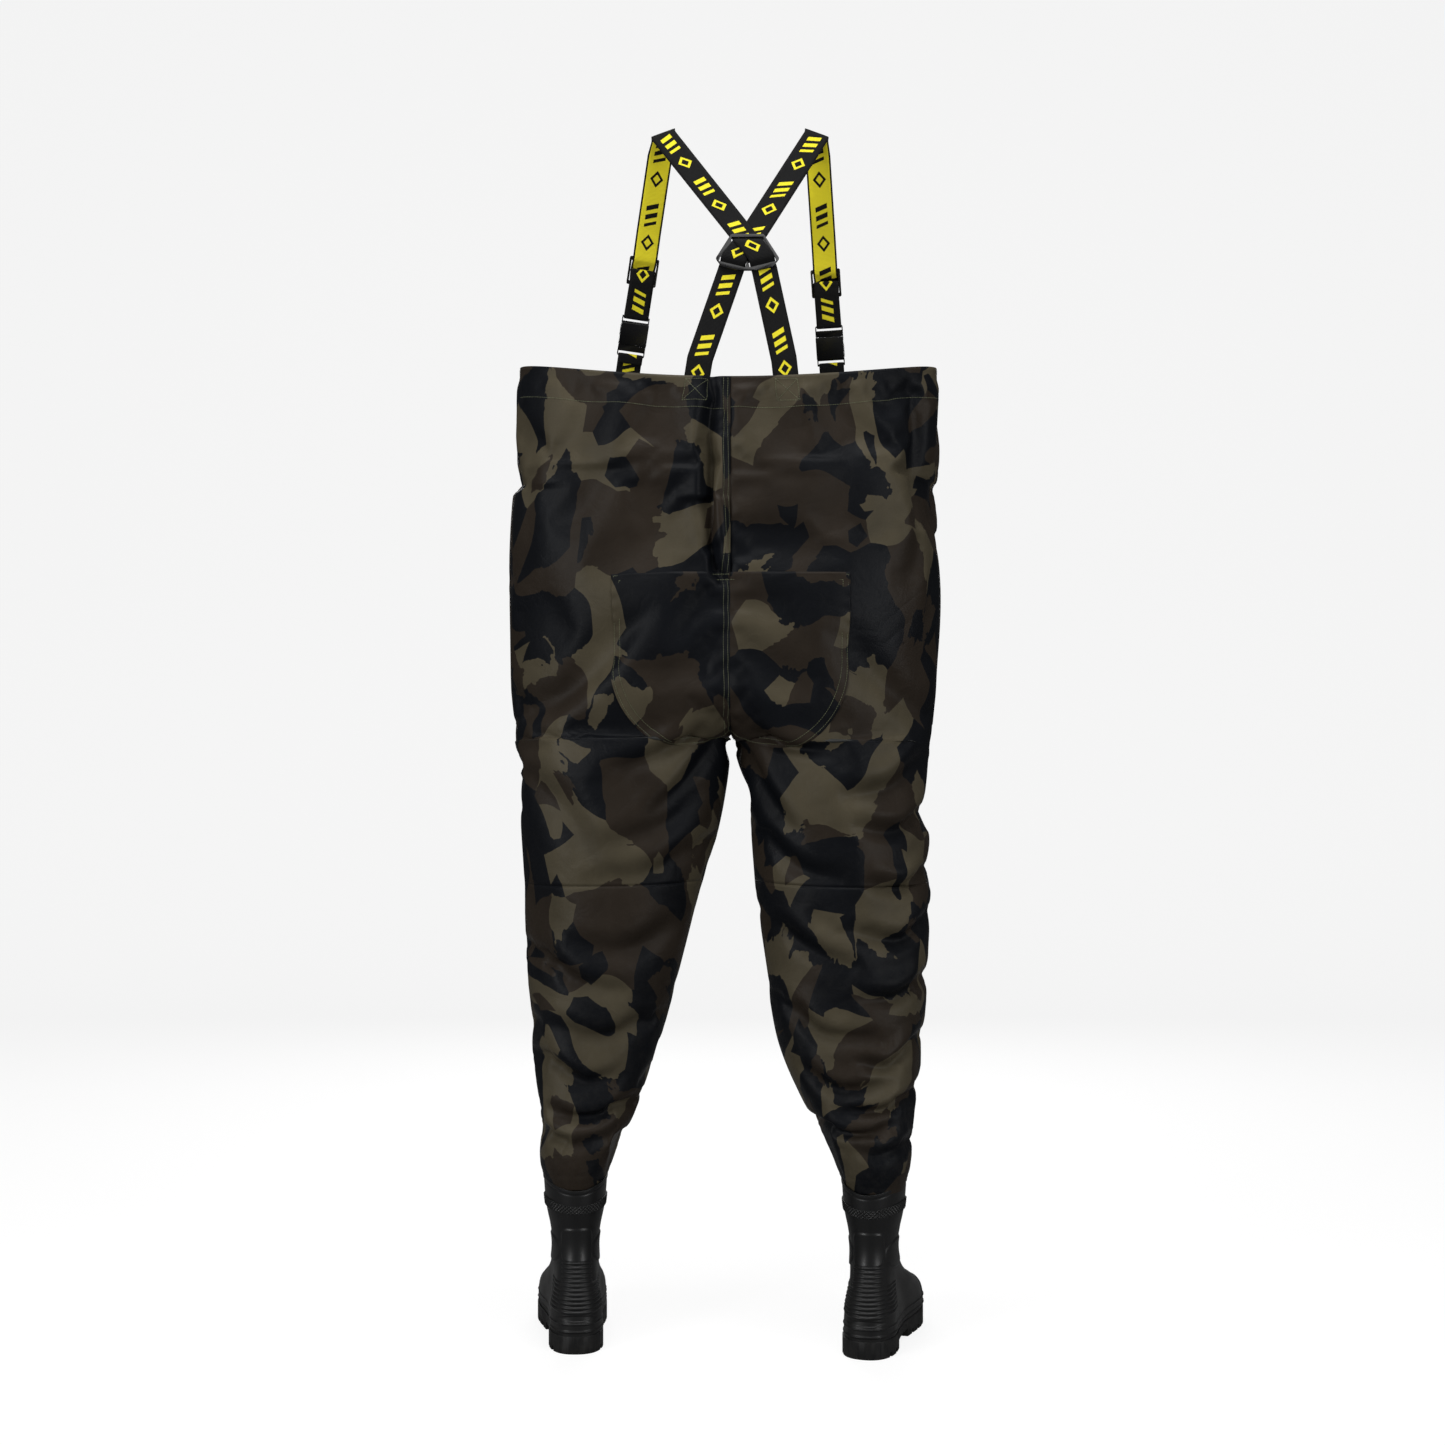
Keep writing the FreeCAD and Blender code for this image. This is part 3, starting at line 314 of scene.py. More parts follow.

# %% [markdown]
# ## Folds
# Folds could be left to a noise pattern, but then they would lie anywhere. Coated cloth hangs in a few long
# folds that start where it is held: at the hem, the crotch, the knee and above the boot. So each big fold
# is a line of listed points seen from behind or in front, with a width, a depth and a ridge beside it,
# and the small ones between them are left to the cloth simulation.

# %% Folds
FOLDS = {  # (side, face): list of (points as (across, height), half width, depth, ridge)
    (-1, "back"): [
        ([(-0.027, 1.460), (-0.031, 1.33), (-0.033, 1.24), (-0.024, 1.17), (-0.008, 1.13)],
         0.0085, 0.020, 0.007),
        ([(-0.012, 1.36), (-0.017, 1.27), (-0.010, 1.20)], 0.012, -0.005, 0.0),
        ([(-0.052, 1.42), (-0.056, 1.30), (-0.050, 1.20)], 0.016, -0.006, 0.0),
        ([(-0.10, 1.43), (-0.12, 1.30), (-0.10, 1.18)], 0.030, 0.004, 0.002),
        ([(-0.22, 1.44), (-0.20, 1.31), (-0.23, 1.20)], 0.030, 0.004, 0.002),
        ([(-0.30, 1.38), (-0.295, 1.26), (-0.305, 1.15)], 0.014, 0.005, 0.003),
        ([(-0.19, 1.03), (-0.24, 0.98), (-0.30, 0.95)], 0.020, 0.005, 0.003),
        ([(-0.03, 0.925), (-0.09, 0.885), (-0.17, 0.855)], 0.012, 0.008, 0.005),
        ([(-0.02, 0.905), (-0.06, 0.845), (-0.12, 0.790)], 0.012, 0.008, 0.005),
        ([(-0.04, 0.84), (-0.09, 0.78), (-0.19, 0.745)], 0.016, 0.007, 0.004),
        ([(-0.05, 0.75), (-0.12, 0.71), (-0.22, 0.70)], 0.016, 0.006, 0.004),
        ([(-0.30, 0.86), (-0.24, 0.80), (-0.20, 0.72)], 0.020, 0.006, 0.003),
        ([(-0.08, 0.64), (-0.15, 0.60), (-0.24, 0.61)], 0.016, 0.006, 0.004),
        ([(-0.29, 0.60), (-0.22, 0.55), (-0.15, 0.54)], 0.014, 0.006, 0.004),
        ([(-0.12, 0.50), (-0.19, 0.47), (-0.27, 0.49)], 0.013, 0.007, 0.004),
        ([(-0.28, 0.44), (-0.22, 0.405), (-0.17, 0.415)], 0.011, 0.007, 0.005),
        ([(-0.15, 0.37), (-0.21, 0.345), (-0.27, 0.36)], 0.010, 0.007, 0.005),
        ([(-0.28, 0.325), (-0.23, 0.305), (-0.18, 0.315)], 0.009, 0.006, 0.005),
    ],
    (1, "back"): [
        ([(0.05, 1.42), (0.065, 1.30), (0.05, 1.18)], 0.026, 0.004, 0.002),
        ([(0.15, 1.43), (0.17, 1.32), (0.15, 1.20)], 0.032, 0.004, 0.002),
        ([(0.27, 1.43), (0.285, 1.30), (0.275, 1.15)], 0.014, 0.008, 0.005),
        ([(0.30, 1.32), (0.303, 1.20), (0.296, 1.08)], 0.010, 0.006, 0.004),
        ([(0.20, 1.02), (0.25, 0.97), (0.29, 0.94)], 0.018, 0.005, 0.003),
        ([(0.03, 0.925), (0.08, 0.895), (0.15, 0.885)], 0.011, 0.008, 0.005),
        ([(0.02, 0.90), (0.05, 0.83), (0.10, 0.765)], 0.012, 0.008, 0.005),
        ([(0.29, 0.89), (0.24, 0.84), (0.16, 0.82)], 0.014, 0.009, 0.006),
        ([(0.30, 0.81), (0.25, 0.775), (0.18, 0.78)], 0.012, 0.009, 0.007),
        ([(0.05, 0.77), (0.10, 0.72), (0.17, 0.70)], 0.014, 0.007, 0.004),
        ([(0.305, 0.72), (0.26, 0.69), (0.20, 0.70)], 0.012, 0.010, 0.007),
        ([(0.31, 0.655), (0.26, 0.615), (0.19, 0.625)], 0.012, 0.009, 0.007),
        ([(0.07, 0.64), (0.12, 0.60), (0.19, 0.57)], 0.013, 0.007, 0.005),
        ([(0.30, 0.56), (0.25, 0.53), (0.19, 0.53)], 0.011, 0.009, 0.006),
        ([(0.09, 0.52), (0.14, 0.475), (0.22, 0.47)], 0.012, 0.008, 0.005),
        ([(0.29, 0.47), (0.24, 0.43), (0.19, 0.435)], 0.010, 0.009, 0.006),
        ([(0.11, 0.43), (0.16, 0.395), (0.23, 0.40)], 0.010, 0.008, 0.006),
        ([(0.28, 0.385), (0.22, 0.36), (0.17, 0.365)], 0.009, 0.008, 0.006),
        ([(0.13, 0.345), (0.18, 0.325), (0.24, 0.335)], 0.008, 0.007, 0.006),
        ([(0.27, 0.31), (0.22, 0.295), (0.18, 0.30)], 0.008, 0.006, 0.005),
    ],
    (-1, "front"): [
        ([(-0.04, 1.40), (-0.06, 1.28), (-0.04, 1.15)], 0.022, 0.006, 0.004),
        ([(-0.17, 1.43), (-0.19, 1.31), (-0.17, 1.18)], 0.030, 0.005, 0.003),
        ([(-0.28, 1.40), (-0.27, 1.27), (-0.29, 1.12)], 0.018, 0.006, 0.004),
        ([(-0.03, 0.96), (-0.11, 0.93), (-0.22, 0.94)], 0.016, 0.007, 0.005),
        ([(-0.02, 0.91), (-0.09, 0.85), (-0.20, 0.83)], 0.014, 0.009, 0.006),
        ([(-0.30, 0.80), (-0.22, 0.75), (-0.12, 0.76)], 0.016, 0.008, 0.005),
        ([(-0.07, 0.67), (-0.15, 0.63), (-0.26, 0.64)], 0.016, 0.007, 0.005),
        ([(-0.29, 0.56), (-0.21, 0.525), (-0.13, 0.54)], 0.014, 0.008, 0.006),
        ([(-0.13, 0.45), (-0.19, 0.42), (-0.27, 0.43)], 0.012, 0.008, 0.006),
        ([(-0.28, 0.37), (-0.22, 0.345), (-0.16, 0.355)], 0.010, 0.008, 0.006),
        ([(-0.17, 0.315), (-0.22, 0.30), (-0.28, 0.31)], 0.009, 0.006, 0.005),
    ],
    (1, "front"): [
        ([(0.06, 1.41), (0.08, 1.29), (0.06, 1.16)], 0.024, 0.006, 0.004),
        ([(0.20, 1.43), (0.18, 1.30), (0.20, 1.17)], 0.030, 0.005, 0.003),
        ([(0.03, 0.95), (0.12, 0.92), (0.23, 0.95)], 0.016, 0.007, 0.005),
        ([(0.02, 0.90), (0.10, 0.86), (0.19, 0.81)], 0.014, 0.009, 0.006),
        ([(0.29, 0.78), (0.22, 0.73), (0.11, 0.74)], 0.015, 0.008, 0.006),
        ([(0.06, 0.66), (0.14, 0.61), (0.25, 0.62)], 0.014, 0.008, 0.006),
        ([(0.29, 0.54), (0.20, 0.50), (0.12, 0.52)], 0.013, 0.008, 0.006),
        ([(0.11, 0.44), (0.18, 0.40), (0.27, 0.41)], 0.011, 0.008, 0.006),
        ([(0.27, 0.36), (0.20, 0.335), (0.14, 0.35)], 0.009, 0.008, 0.006),
        ([(0.15, 0.31), (0.20, 0.295), (0.26, 0.30)], 0.009, 0.006, 0.005),
    ],
}


def smooth_line(points):
    """A smooth curve of 24 points through a few, by their running number."""
    steps = np.arange(len(points))
    return through(steps, np.asarray(points, float), np.linspace(0, len(points) - 1, 24))


def fold_depth(across, height, fold):
    """Depth of one fold: a valley exp(-(d/w)^2) with a ridge on its upper side, fading at both ends."""
    line, width, depth, ridge = fold
    curve = smooth_line(line)
    best = np.full(across.shape, 1e9)
    signed = np.zeros(across.shape)
    share = np.zeros(across.shape)
    for place, (start, end) in enumerate(zip(curve[:-1], curve[1:])):
        run = end - start
        length = np.linalg.norm(run)
        rel_x, rel_z = across - start[0], height - start[1]
        along = np.clip((rel_x * run[0] + rel_z * run[1]) / length ** 2, 0, 1)
        gap_x, gap_z = rel_x - along * run[0], rel_z - along * run[1]
        gap = np.hypot(gap_x, gap_z)
        nearer = gap < best
        hand = np.sign(rel_z * run[0] - rel_x * run[1]) * math.copysign(1, run[0])
        best = np.where(nearer, gap, best)
        signed = np.where(nearer, gap * hand, signed)
        share = np.where(nearer, (place + along) / (len(curve) - 1), share)
    fade = np.sin(np.clip(share, 0, 1) * math.pi) ** 0.6 + 0.12
    valley = depth * np.exp(-(best / width) ** 2)
    crest = ridge * np.exp(-((signed - 1.9 * width) / (1.3 * width)) ** 2) * (best < 6 * width)
    return fade * (valley - crest)


def folded(points, side):
    """The grid pushed inwards along its normals by every fold of its own side and face."""
    normal = outward(points, side)
    back = np.clip(0.5 - normal[..., 1], 0, 1) ** 2 * (3 - 2 * np.clip(0.5 - normal[..., 1], 0, 1))
    across, height = points[..., 0], points[..., 2]
    push = np.zeros(across.shape)
    for face, weight in (("back", back), ("front", 1 - back)):
        for fold in FOLDS[(side, face)]:
            push += weight * fold_depth(across, height, fold)
    return points - normal * push[..., None]


print("folds:", {f"{key[0]} {key[1]}": len(value) for key, value in FOLDS.items()})

# %% [markdown]
# ## Letting the cloth settle
# The folded half is cut a few percent larger than its form, held at the hem, the centre seam and the cuff,
# and let loose in a short cloth simulation with no gravity. It buckles into the small soft wrinkles that
# nobody can draw by hand. The simulation runs on a coarse grid; what it moved is then a smooth field that
# is read between its points on a grid four times finer, so the fine cloth keeps crisp folds.

# %% Letting the cloth settle
COARSE, FINE = 0.0125, 0.0046
SPARE_CLOTH = 0.034
SETTLE_FRAMES = 16
LARGEST_MOVE = 0.012
LOOSE_HOLD = 0.10


def settle(points, first_leg_row):
    """What a short cloth simulation moves each grid point by, with hem, centre seam and cuff held."""
    rows, columns = points.shape[:2]
    number = np.arange(rows * columns).reshape(rows, columns)
    number[first_leg_row:, -1] = number[first_leg_row:, 0]
    quads = grid_faces(rows, columns)
    quads = number.ravel()[quads]
    held = np.full((rows, columns), LOOSE_HOLD)
    held[:2] = held[-2:] = 1.0
    held[:first_leg_row, [0, -1]] = 1.0
    thing = mesh_object("settling", points, quads)
    group = thing.vertex_groups.new(name="held")
    for weight in (LOOSE_HOLD, 1.0):
        group.add(np.flatnonzero(held.ravel() == weight).tolist(), weight, "REPLACE")
    cloth = thing.modifiers.new("Cloth", "CLOTH")
    cloth.settings.quality = 5
    cloth.settings.mass = 0.2
    cloth.settings.tension_stiffness = cloth.settings.compression_stiffness = 25
    cloth.settings.shear_stiffness = 8
    cloth.settings.bending_stiffness = 1.4
    cloth.settings.vertex_group_mass = "held"
    cloth.settings.pin_stiffness = 0.6
    cloth.settings.shrink_min = -SPARE_CLOTH
    cloth.settings.effector_weights.gravity = 0
    cloth.point_cache.frame_end = SETTLE_FRAMES
    cloth.collision_settings.use_self_collision = False
    scene = bpy.context.scene
    for number_of_frame in range(1, SETTLE_FRAMES + 1):
        scene.frame_set(number_of_frame)
    moved = np.empty(rows * columns * 3, np.float32)
    settled = thing.evaluated_get(bpy.context.evaluated_depsgraph_get())
    settled.data.vertices.foreach_get("co", moved)
    moved = moved.reshape(rows, columns, 3) - points
    moved[first_leg_row:, -1] = moved[first_leg_row:, 0]
    scene.frame_set(1)
    bpy.data.objects.remove(thing)
    length = np.linalg.norm(moved, axis=-1, keepdims=True)
    moved *= np.tanh(length / LARGEST_MOVE) * LARGEST_MOVE / np.maximum(length, 1e-9)
    print("settled", rows, "x", columns, "largest move", round(float(length.max()), 4))
    return moved


def smooth_field(field, rows, columns):
    """A coarse grid of vectors read at a finer count of rows and columns."""
    by_row = through(np.arange(field.shape[0]), field, rows)
    by_column = through(np.arange(field.shape[1]), by_row.swapaxes(0, 1), columns)
    return by_column.swapaxes(0, 1)


def make_cloth_surface(side):
    """One half of the garment: its flat form, its settled points, its row heights and uv."""
    form, heights, lengths = cloth_grid(side, FINE)
    points = folded(form, side)
    coarse_form, coarse_heights, _ = cloth_grid(side, COARSE)
    first_leg_row = int(np.flatnonzero(coarse_heights <= SADDLE_LOW + 1e-6)[0])
    moved = settle(folded(coarse_form, side), first_leg_row)
    rows = np.interp(-heights, -coarse_heights, np.arange(len(coarse_heights)))
    columns = np.linspace(0, coarse_form.shape[1] - 1, form.shape[1])
    points = points + smooth_field(moved, rows, columns)
    along = (np.linspace(0, 1, form.shape[1])[None, :] - 0.5) * lengths[:, None]
    down = np.broadcast_to(heights[:, None], along.shape)
    return {
        "form": form, "points": points, "normal": outward(points, side), "heights": heights,
        "uv": np.stack([along, down], -1),
    }


CLOTH = {side: make_cloth_surface(side) for _, side in SIDES}

# %% [markdown]
# ## Finishes
# Every finish is nodes, no pictures. Effects that several finishes share, the camouflage, the weave, the
# moulded grain and the dust, are node groups with named inputs; the shader itself stays in each material.
# The camouflage is large torn shapes in three colours. Cells of a Voronoi pattern give crisp edges and
# sharp points, and pulling its coordinates about with noise bends them; a second, finer pull that works
# only in places tears their ends. It reads the cloth's own uv, in metres, so it follows every fold, and a
# jump of uv between panels makes the print stop at the seams as a cut and sewn print does.

# %% Node helpers
COLOURS = {
    "camo_black": (0.0050, 0.0058, 0.0076),
    "camo_brown": (0.0250, 0.0190, 0.0140),
    "camo_olive": (0.0700, 0.0590, 0.0380),
    "cloth_inside": (0.020, 0.021, 0.020),
    "thread": (0.150, 0.165, 0.085),
    "web_black": (0.0065, 0.0065, 0.0068),
    "web_yellow": (0.95, 0.83, 0.035),
    "plastic": (0.0055, 0.0055, 0.0060),
    "rubber": (0.0075, 0.0077, 0.0080),
    "sole": (0.0070, 0.0071, 0.0074),
    "felt": (0.060, 0.058, 0.055),
    "dust": (0.20, 0.185, 0.16),
}


def node(tree, kind, inputs=None, **settings):
    """A new node: inputs are values, colours or another node's output, by socket name or number."""
    made = tree.nodes.new(kind)
    for key, value in settings.items():
        setattr(made, key, value)
    for key, value in (inputs or {}).items():
        socket = made.inputs[key]
        if isinstance(value, bpy.types.NodeSocket):
            tree.links.new(value, socket)
        else:
            socket.default_value = (*value, 1) if socket.type == "RGBA" and len(value) == 3 else value
    return made


def maths(tree, operation, *values):
    """The output of one Math node."""
    made = node(tree, "ShaderNodeMath", dict(enumerate(values)), operation=operation)
    return made.outputs[0]


def blend_colour(tree, factor, first, second):
    """The colour of a Mix node."""
    made = node(tree, "ShaderNodeMix", {"Factor": factor}, data_type="RGBA")
    for place, value in ((6, first), (7, second)):
        if isinstance(value, bpy.types.NodeSocket):
            tree.links.new(value, made.inputs[place])
        else:
            made.inputs[place].default_value = (*value, 1)
    return made.outputs[2]


def ramp(tree, factor, stops, interpolation="LINEAR"):
    """A colour ramp's output; stops are (place, grey or colour)."""
    made = node(tree, "ShaderNodeValToRGB", {"Fac": factor})
    band = made.color_ramp
    band.interpolation = interpolation
    while len(band.elements) < len(stops):
        band.elements.new(0.5)
    for element, (place, colour) in zip(band.elements, stops):
        element.position = place
        element.color = (*colour, 1) if hasattr(colour, "__len__") else (colour, colour, colour, 1)
    return made.outputs["Color"]


def new_group(name, inputs, outputs):
    """An empty node group with named sockets; inputs are (name, kind, value), outputs (name, kind)."""
    tree = bpy.data.node_groups.new(name, "ShaderNodeTree")
    for title, kind, value in inputs:
        socket = tree.interface.new_socket(title, in_out="INPUT", socket_type=f"NodeSocket{kind}")
        if value is not None:
            socket.default_value = value
    for title, kind in outputs:
        tree.interface.new_socket(title, in_out="OUTPUT", socket_type=f"NodeSocket{kind}")
    return tree, tree.nodes.new("NodeGroupInput").outputs, tree.nodes.new("NodeGroupOutput").inputs


def shifted_by_noise(tree, place, scale, detail, amount):
    """Coordinates pulled about by a coloured noise, each way by up to half the amount."""
    noise = node(tree, "ShaderNodeTexNoise", {"Vector": place, "Scale": scale, "Detail": detail})
    middle = node(tree, "ShaderNodeVectorMath", {0: noise.outputs["Color"], 1: (0.5, 0.5, 0.5)},
                  operation="SUBTRACT")
    pull = node(tree, "ShaderNodeVectorMath", {0: middle.outputs[0], "Scale": amount}, operation="SCALE")
    return node(tree, "ShaderNodeVectorMath", {0: place, 1: pull.outputs[0]}, operation="ADD").outputs[0]


def camouflage_group():
    """Torn shapes in three colours on coordinates in metres."""
    tree, given, result = new_group(
        "camouflage", [("Vector", "Vector", None), ("Shapes per metre", "Float", 10.0)],
        [("Colour", "Color")])
    tall = node(tree, "ShaderNodeVectorMath", {0: given["Vector"], 1: (1.0, 0.78, 1.0)},
                operation="MULTIPLY").outputs[0]
    bent = shifted_by_noise(tree, tall, 6.5, 1.0, 0.150)
    places = node(tree, "ShaderNodeTexNoise", {"Vector": tall, "Scale": 12.0, "Detail": 0.0})
    torn = ramp(tree, places.outputs["Fac"], [(0.50, 0.0), (0.60, 1.0)])
    torn_amount = maths(tree, "MULTIPLY", torn, 0.040)
    torn_amount = maths(tree, "ADD", torn_amount, 0.0025)
    place = shifted_by_noise(tree, bent, 48.0, 3.0, torn_amount)
    cells = node(tree, "ShaderNodeTexVoronoi", {"Vector": place, "Scale": given["Shapes per metre"]},
                 voronoi_dimensions="2D")
    pick = node(tree, "ShaderNodeSeparateColor", {0: cells.outputs["Color"]})
    small_scale = maths(tree, "MULTIPLY", given["Shapes per metre"], 1.9)
    small = node(tree, "ShaderNodeTexVoronoi", {"Vector": place, "Scale": small_scale},
                 voronoi_dimensions="2D")
    small_pick = node(tree, "ShaderNodeSeparateColor", {0: small.outputs["Color"]})
    is_small = maths(tree, "GREATER_THAN", small_pick.outputs[0], 0.84)
    value = node(tree, "ShaderNodeMix", {"Factor": is_small, 2: pick.outputs[1],
                                         3: small_pick.outputs[1]}, data_type="FLOAT").outputs[0]
    three = ramp(tree, value, [(0.0, COLOURS["camo_black"]), (0.42, COLOURS["camo_brown"]),
                               (0.74, COLOURS["camo_olive"])], "CONSTANT")
    cloudy = node(tree, "ShaderNodeTexNoise", {"Vector": tall, "Scale": 14.0, "Detail": 3.0})
    lift = ramp(tree, cloudy.outputs["Fac"], [(0.3, 0.82), (0.7, 1.16)])
    shade = node(tree, "ShaderNodeMix", {"Factor": 1.0}, data_type="RGBA", blend_type="MULTIPLY")
    tree.links.new(three, shade.inputs[6])
    tree.links.new(lift, shade.inputs[7])
    tree.links.new(shade.outputs[2], result["Colour"])
    return tree


def weave_group():
    """Fine diagonal threads crossing: two sets of bands at right angles, the higher one on top."""
    tree, given, result = new_group(
        "weave", [("Vector", "Vector", None), ("Threads per metre", "Float", 900.0)],
        [("Height", "Float")])
    heights = []
    for turn in (45, -45):
        turned = node(tree, "ShaderNodeVectorRotate", {"Vector": given["Vector"],
                      "Angle": math.radians(turn)}, rotation_type="Z_AXIS").outputs[0]
        apart = node(tree, "ShaderNodeSeparateXYZ", {0: turned}).outputs[0]
        phase = maths(tree, "MULTIPLY", maths(tree, "MULTIPLY", apart, given["Threads per metre"]),
                      2 * math.pi)
        heights.append(maths(tree, "SINE", phase))
    top = maths(tree, "MAXIMUM", *heights)
    tree.links.new(maths(tree, "MULTIPLY_ADD", top, 0.5, 0.5), result["Height"])
    return tree


def crumple_group():
    """Soft dents of handled cloth: the ridges of a folded noise at two sizes."""
    tree, given, result = new_group(
        "crumple", [("Vector", "Vector", None), ("Dents per metre", "Float", 16.0)],
        [("Height", "Float")])
    large = node(tree, "ShaderNodeTexNoise", {"Vector": given["Vector"],
                 "Scale": given["Dents per metre"], "Detail": 2.0, "Distortion": 0.8})
    small_scale = maths(tree, "MULTIPLY", given["Dents per metre"], 3.3)
    small = node(tree, "ShaderNodeTexNoise", {"Vector": given["Vector"], "Scale": small_scale,
                 "Detail": 2.0, "Distortion": 1.2})
    ridge = maths(tree, "ABSOLUTE", maths(tree, "SUBTRACT", large.outputs["Fac"], 0.5))
    fine = maths(tree, "ABSOLUTE", maths(tree, "SUBTRACT", small.outputs["Fac"], 0.5))
    tree.links.new(maths(tree, "MULTIPLY_ADD", fine, 0.35, ridge), result["Height"])
    return tree


def grain_group():
    """The fine spark grain of a moulded surface, with a mask of slightly worn, smoother places."""
    tree, given, result = new_group(
        "moulded_grain", [("Vector", "Vector", None), ("Grain per metre", "Float", 1400.0)],
        [("Height", "Float"), ("Worn", "Float")])
    grain = node(tree, "ShaderNodeTexNoise", {"Vector": given["Vector"],
                 "Scale": given["Grain per metre"], "Detail": 3.0})
    wear = node(tree, "ShaderNodeTexNoise", {"Vector": given["Vector"], "Scale": 23.0, "Detail": 4.0})
    tree.links.new(grain.outputs["Fac"], result["Height"])
    tree.links.new(ramp(tree, wear.outputs["Fac"], [(0.45, 0.0), (0.72, 1.0)]), result["Worn"])
    return tree


def dust_group():
    """A thin uneven dust that lies thicker low down, between two heights of the piece."""
    tree, given, result = new_group(
        "dust", [("Vector", "Vector", None), ("Low", "Float", 0.0), ("High", "Float", 1.0)],
        [("Mask", "Float")])
    height = node(tree, "ShaderNodeSeparateXYZ", {0: given["Vector"]}).outputs[2]
    share = node(tree, "ShaderNodeMapRange", {"Value": height, "From Min": given["High"],
                 "From Max": given["Low"]}).outputs[0]
    specks = node(tree, "ShaderNodeTexNoise", {"Vector": given["Vector"], "Scale": 60.0, "Detail": 6.0,
                  "Roughness": 0.7})
    uneven = ramp(tree, specks.outputs["Fac"], [(0.42, 0.0), (0.75, 1.0)])
    tree.links.new(maths(tree, "MULTIPLY", share, uneven), result["Mask"])
    return tree


GROUPS = {
    "camouflage": camouflage_group(), "weave": weave_group(), "crumple": crumple_group(),
    "grain": grain_group(), "dust": dust_group(),
}


def use(tree, name, **inputs):
    """A node group placed in a material; underscores in the inputs' names stand for spaces."""
    made = node(tree, "ShaderNodeGroup", node_tree=GROUPS[name])
    for key, value in inputs.items():
        socket = made.inputs[key.replace("_", " ")]
        if isinstance(value, bpy.types.NodeSocket):
            tree.links.new(value, socket)
        else:
            socket.default_value = value
    return made.outputs


def new_material(name, roughness=0.5, specular=0.5, sheen=0.0):
    """A material, its node tree and its Principled shader."""
    material = bpy.data.materials.new(name)
    material.use_nodes = True
    shader = material.node_tree.nodes["Principled BSDF"]
    shader.inputs["Roughness"].default_value = roughness
    shader.inputs["Specular IOR Level"].default_value = specular
    shader.inputs["Sheen Weight"].default_value = sheen
    return material, material.node_tree, shader


def bump(tree, shader, layers):
    """Bump nodes one after another into the shader's normal: layers are (height, distance, strength)."""
    normal = None
    for height, distance, strength in layers:
        inputs = {"Height": height, "Distance": distance, "Strength": strength}
        if normal is not None:
            inputs["Normal"] = normal
        normal = node(tree, "ShaderNodeBump", inputs).outputs[0]
    tree.links.new(normal, shader.inputs["Normal"])


# %% The finishes
def camouflage_cloth():
    """Printed satin-faced cloth: soft gloss, fine diagonal weave, small dents."""
    material, tree, shader = new_material("camouflage_cloth", specular=0.09)
    uv = node(tree, "ShaderNodeUVMap", uv_map="UVMap").outputs[0]
    body = node(tree, "ShaderNodeTexCoord").outputs["Object"]
    print_colour = use(tree, "camouflage", Vector=uv, Shapes_per_metre=18.5)
    dust = use(tree, "dust", Vector=body, Low=-1.65, High=-1.0)["Mask"]
    colour = blend_colour(tree, maths(tree, "MULTIPLY", dust, 0.05), print_colour["Colour"], COLOURS["dust"])
    tree.links.new(colour, shader.inputs["Base Color"])
    sheen_patches = node(tree, "ShaderNodeTexNoise", {"Vector": uv, "Scale": 5.0, "Detail": 3.0})
    gloss = ramp(tree, sheen_patches.outputs["Fac"], [(0.3, 0.34), (0.7, 0.50)])
    tree.links.new(gloss, shader.inputs["Roughness"])
    weave = use(tree, "weave", Vector=uv, Threads_per_metre=850.0)["Height"]
    dents = use(tree, "crumple", Vector=uv, Dents_per_metre=9.0)["Height"]
    bump(tree, shader, [(dents, 0.010, 0.30), (weave, 0.00025, 0.35)])
    return material


def inside_cloth():
    """The dark coated inside of the cloth."""
    material, tree, shader = new_material("coated_inside", roughness=0.6, specular=0.35)
    uv = node(tree, "ShaderNodeUVMap", uv_map="UVMap").outputs[0]
    weave = use(tree, "weave", Vector=uv, Threads_per_metre=600.0)["Height"]
    cloudy = node(tree, "ShaderNodeTexNoise", {"Vector": uv, "Scale": 8.0, "Detail": 3.0})
    shade = ramp(tree, cloudy.outputs["Fac"], [(0.3, (0.016, 0.017, 0.016)), (0.7, (0.027, 0.028, 0.026))])
    tree.links.new(shade, shader.inputs["Base Color"])
    bump(tree, shader, [(weave, 0.0002, 0.3)])
    return material


def sewing_thread():
    """Twisted polyester thread."""
    material, tree, shader = new_material("sewing_thread", roughness=0.65, specular=0.3, sheen=0.2)
    body = node(tree, "ShaderNodeTexCoord").outputs["Object"]
    noise = node(tree, "ShaderNodeTexNoise", {"Vector": body, "Scale": 90.0, "Detail": 2.0})
    dark = tuple(0.6 * value for value in COLOURS["thread"])
    tree.links.new(ramp(tree, noise.outputs["Fac"], [(0.3, dark), (0.7, COLOURS["thread"])]),
                   shader.inputs["Base Color"])
    bump(tree, shader, [(noise.outputs["Fac"], 0.0002, 0.5)])
    return material


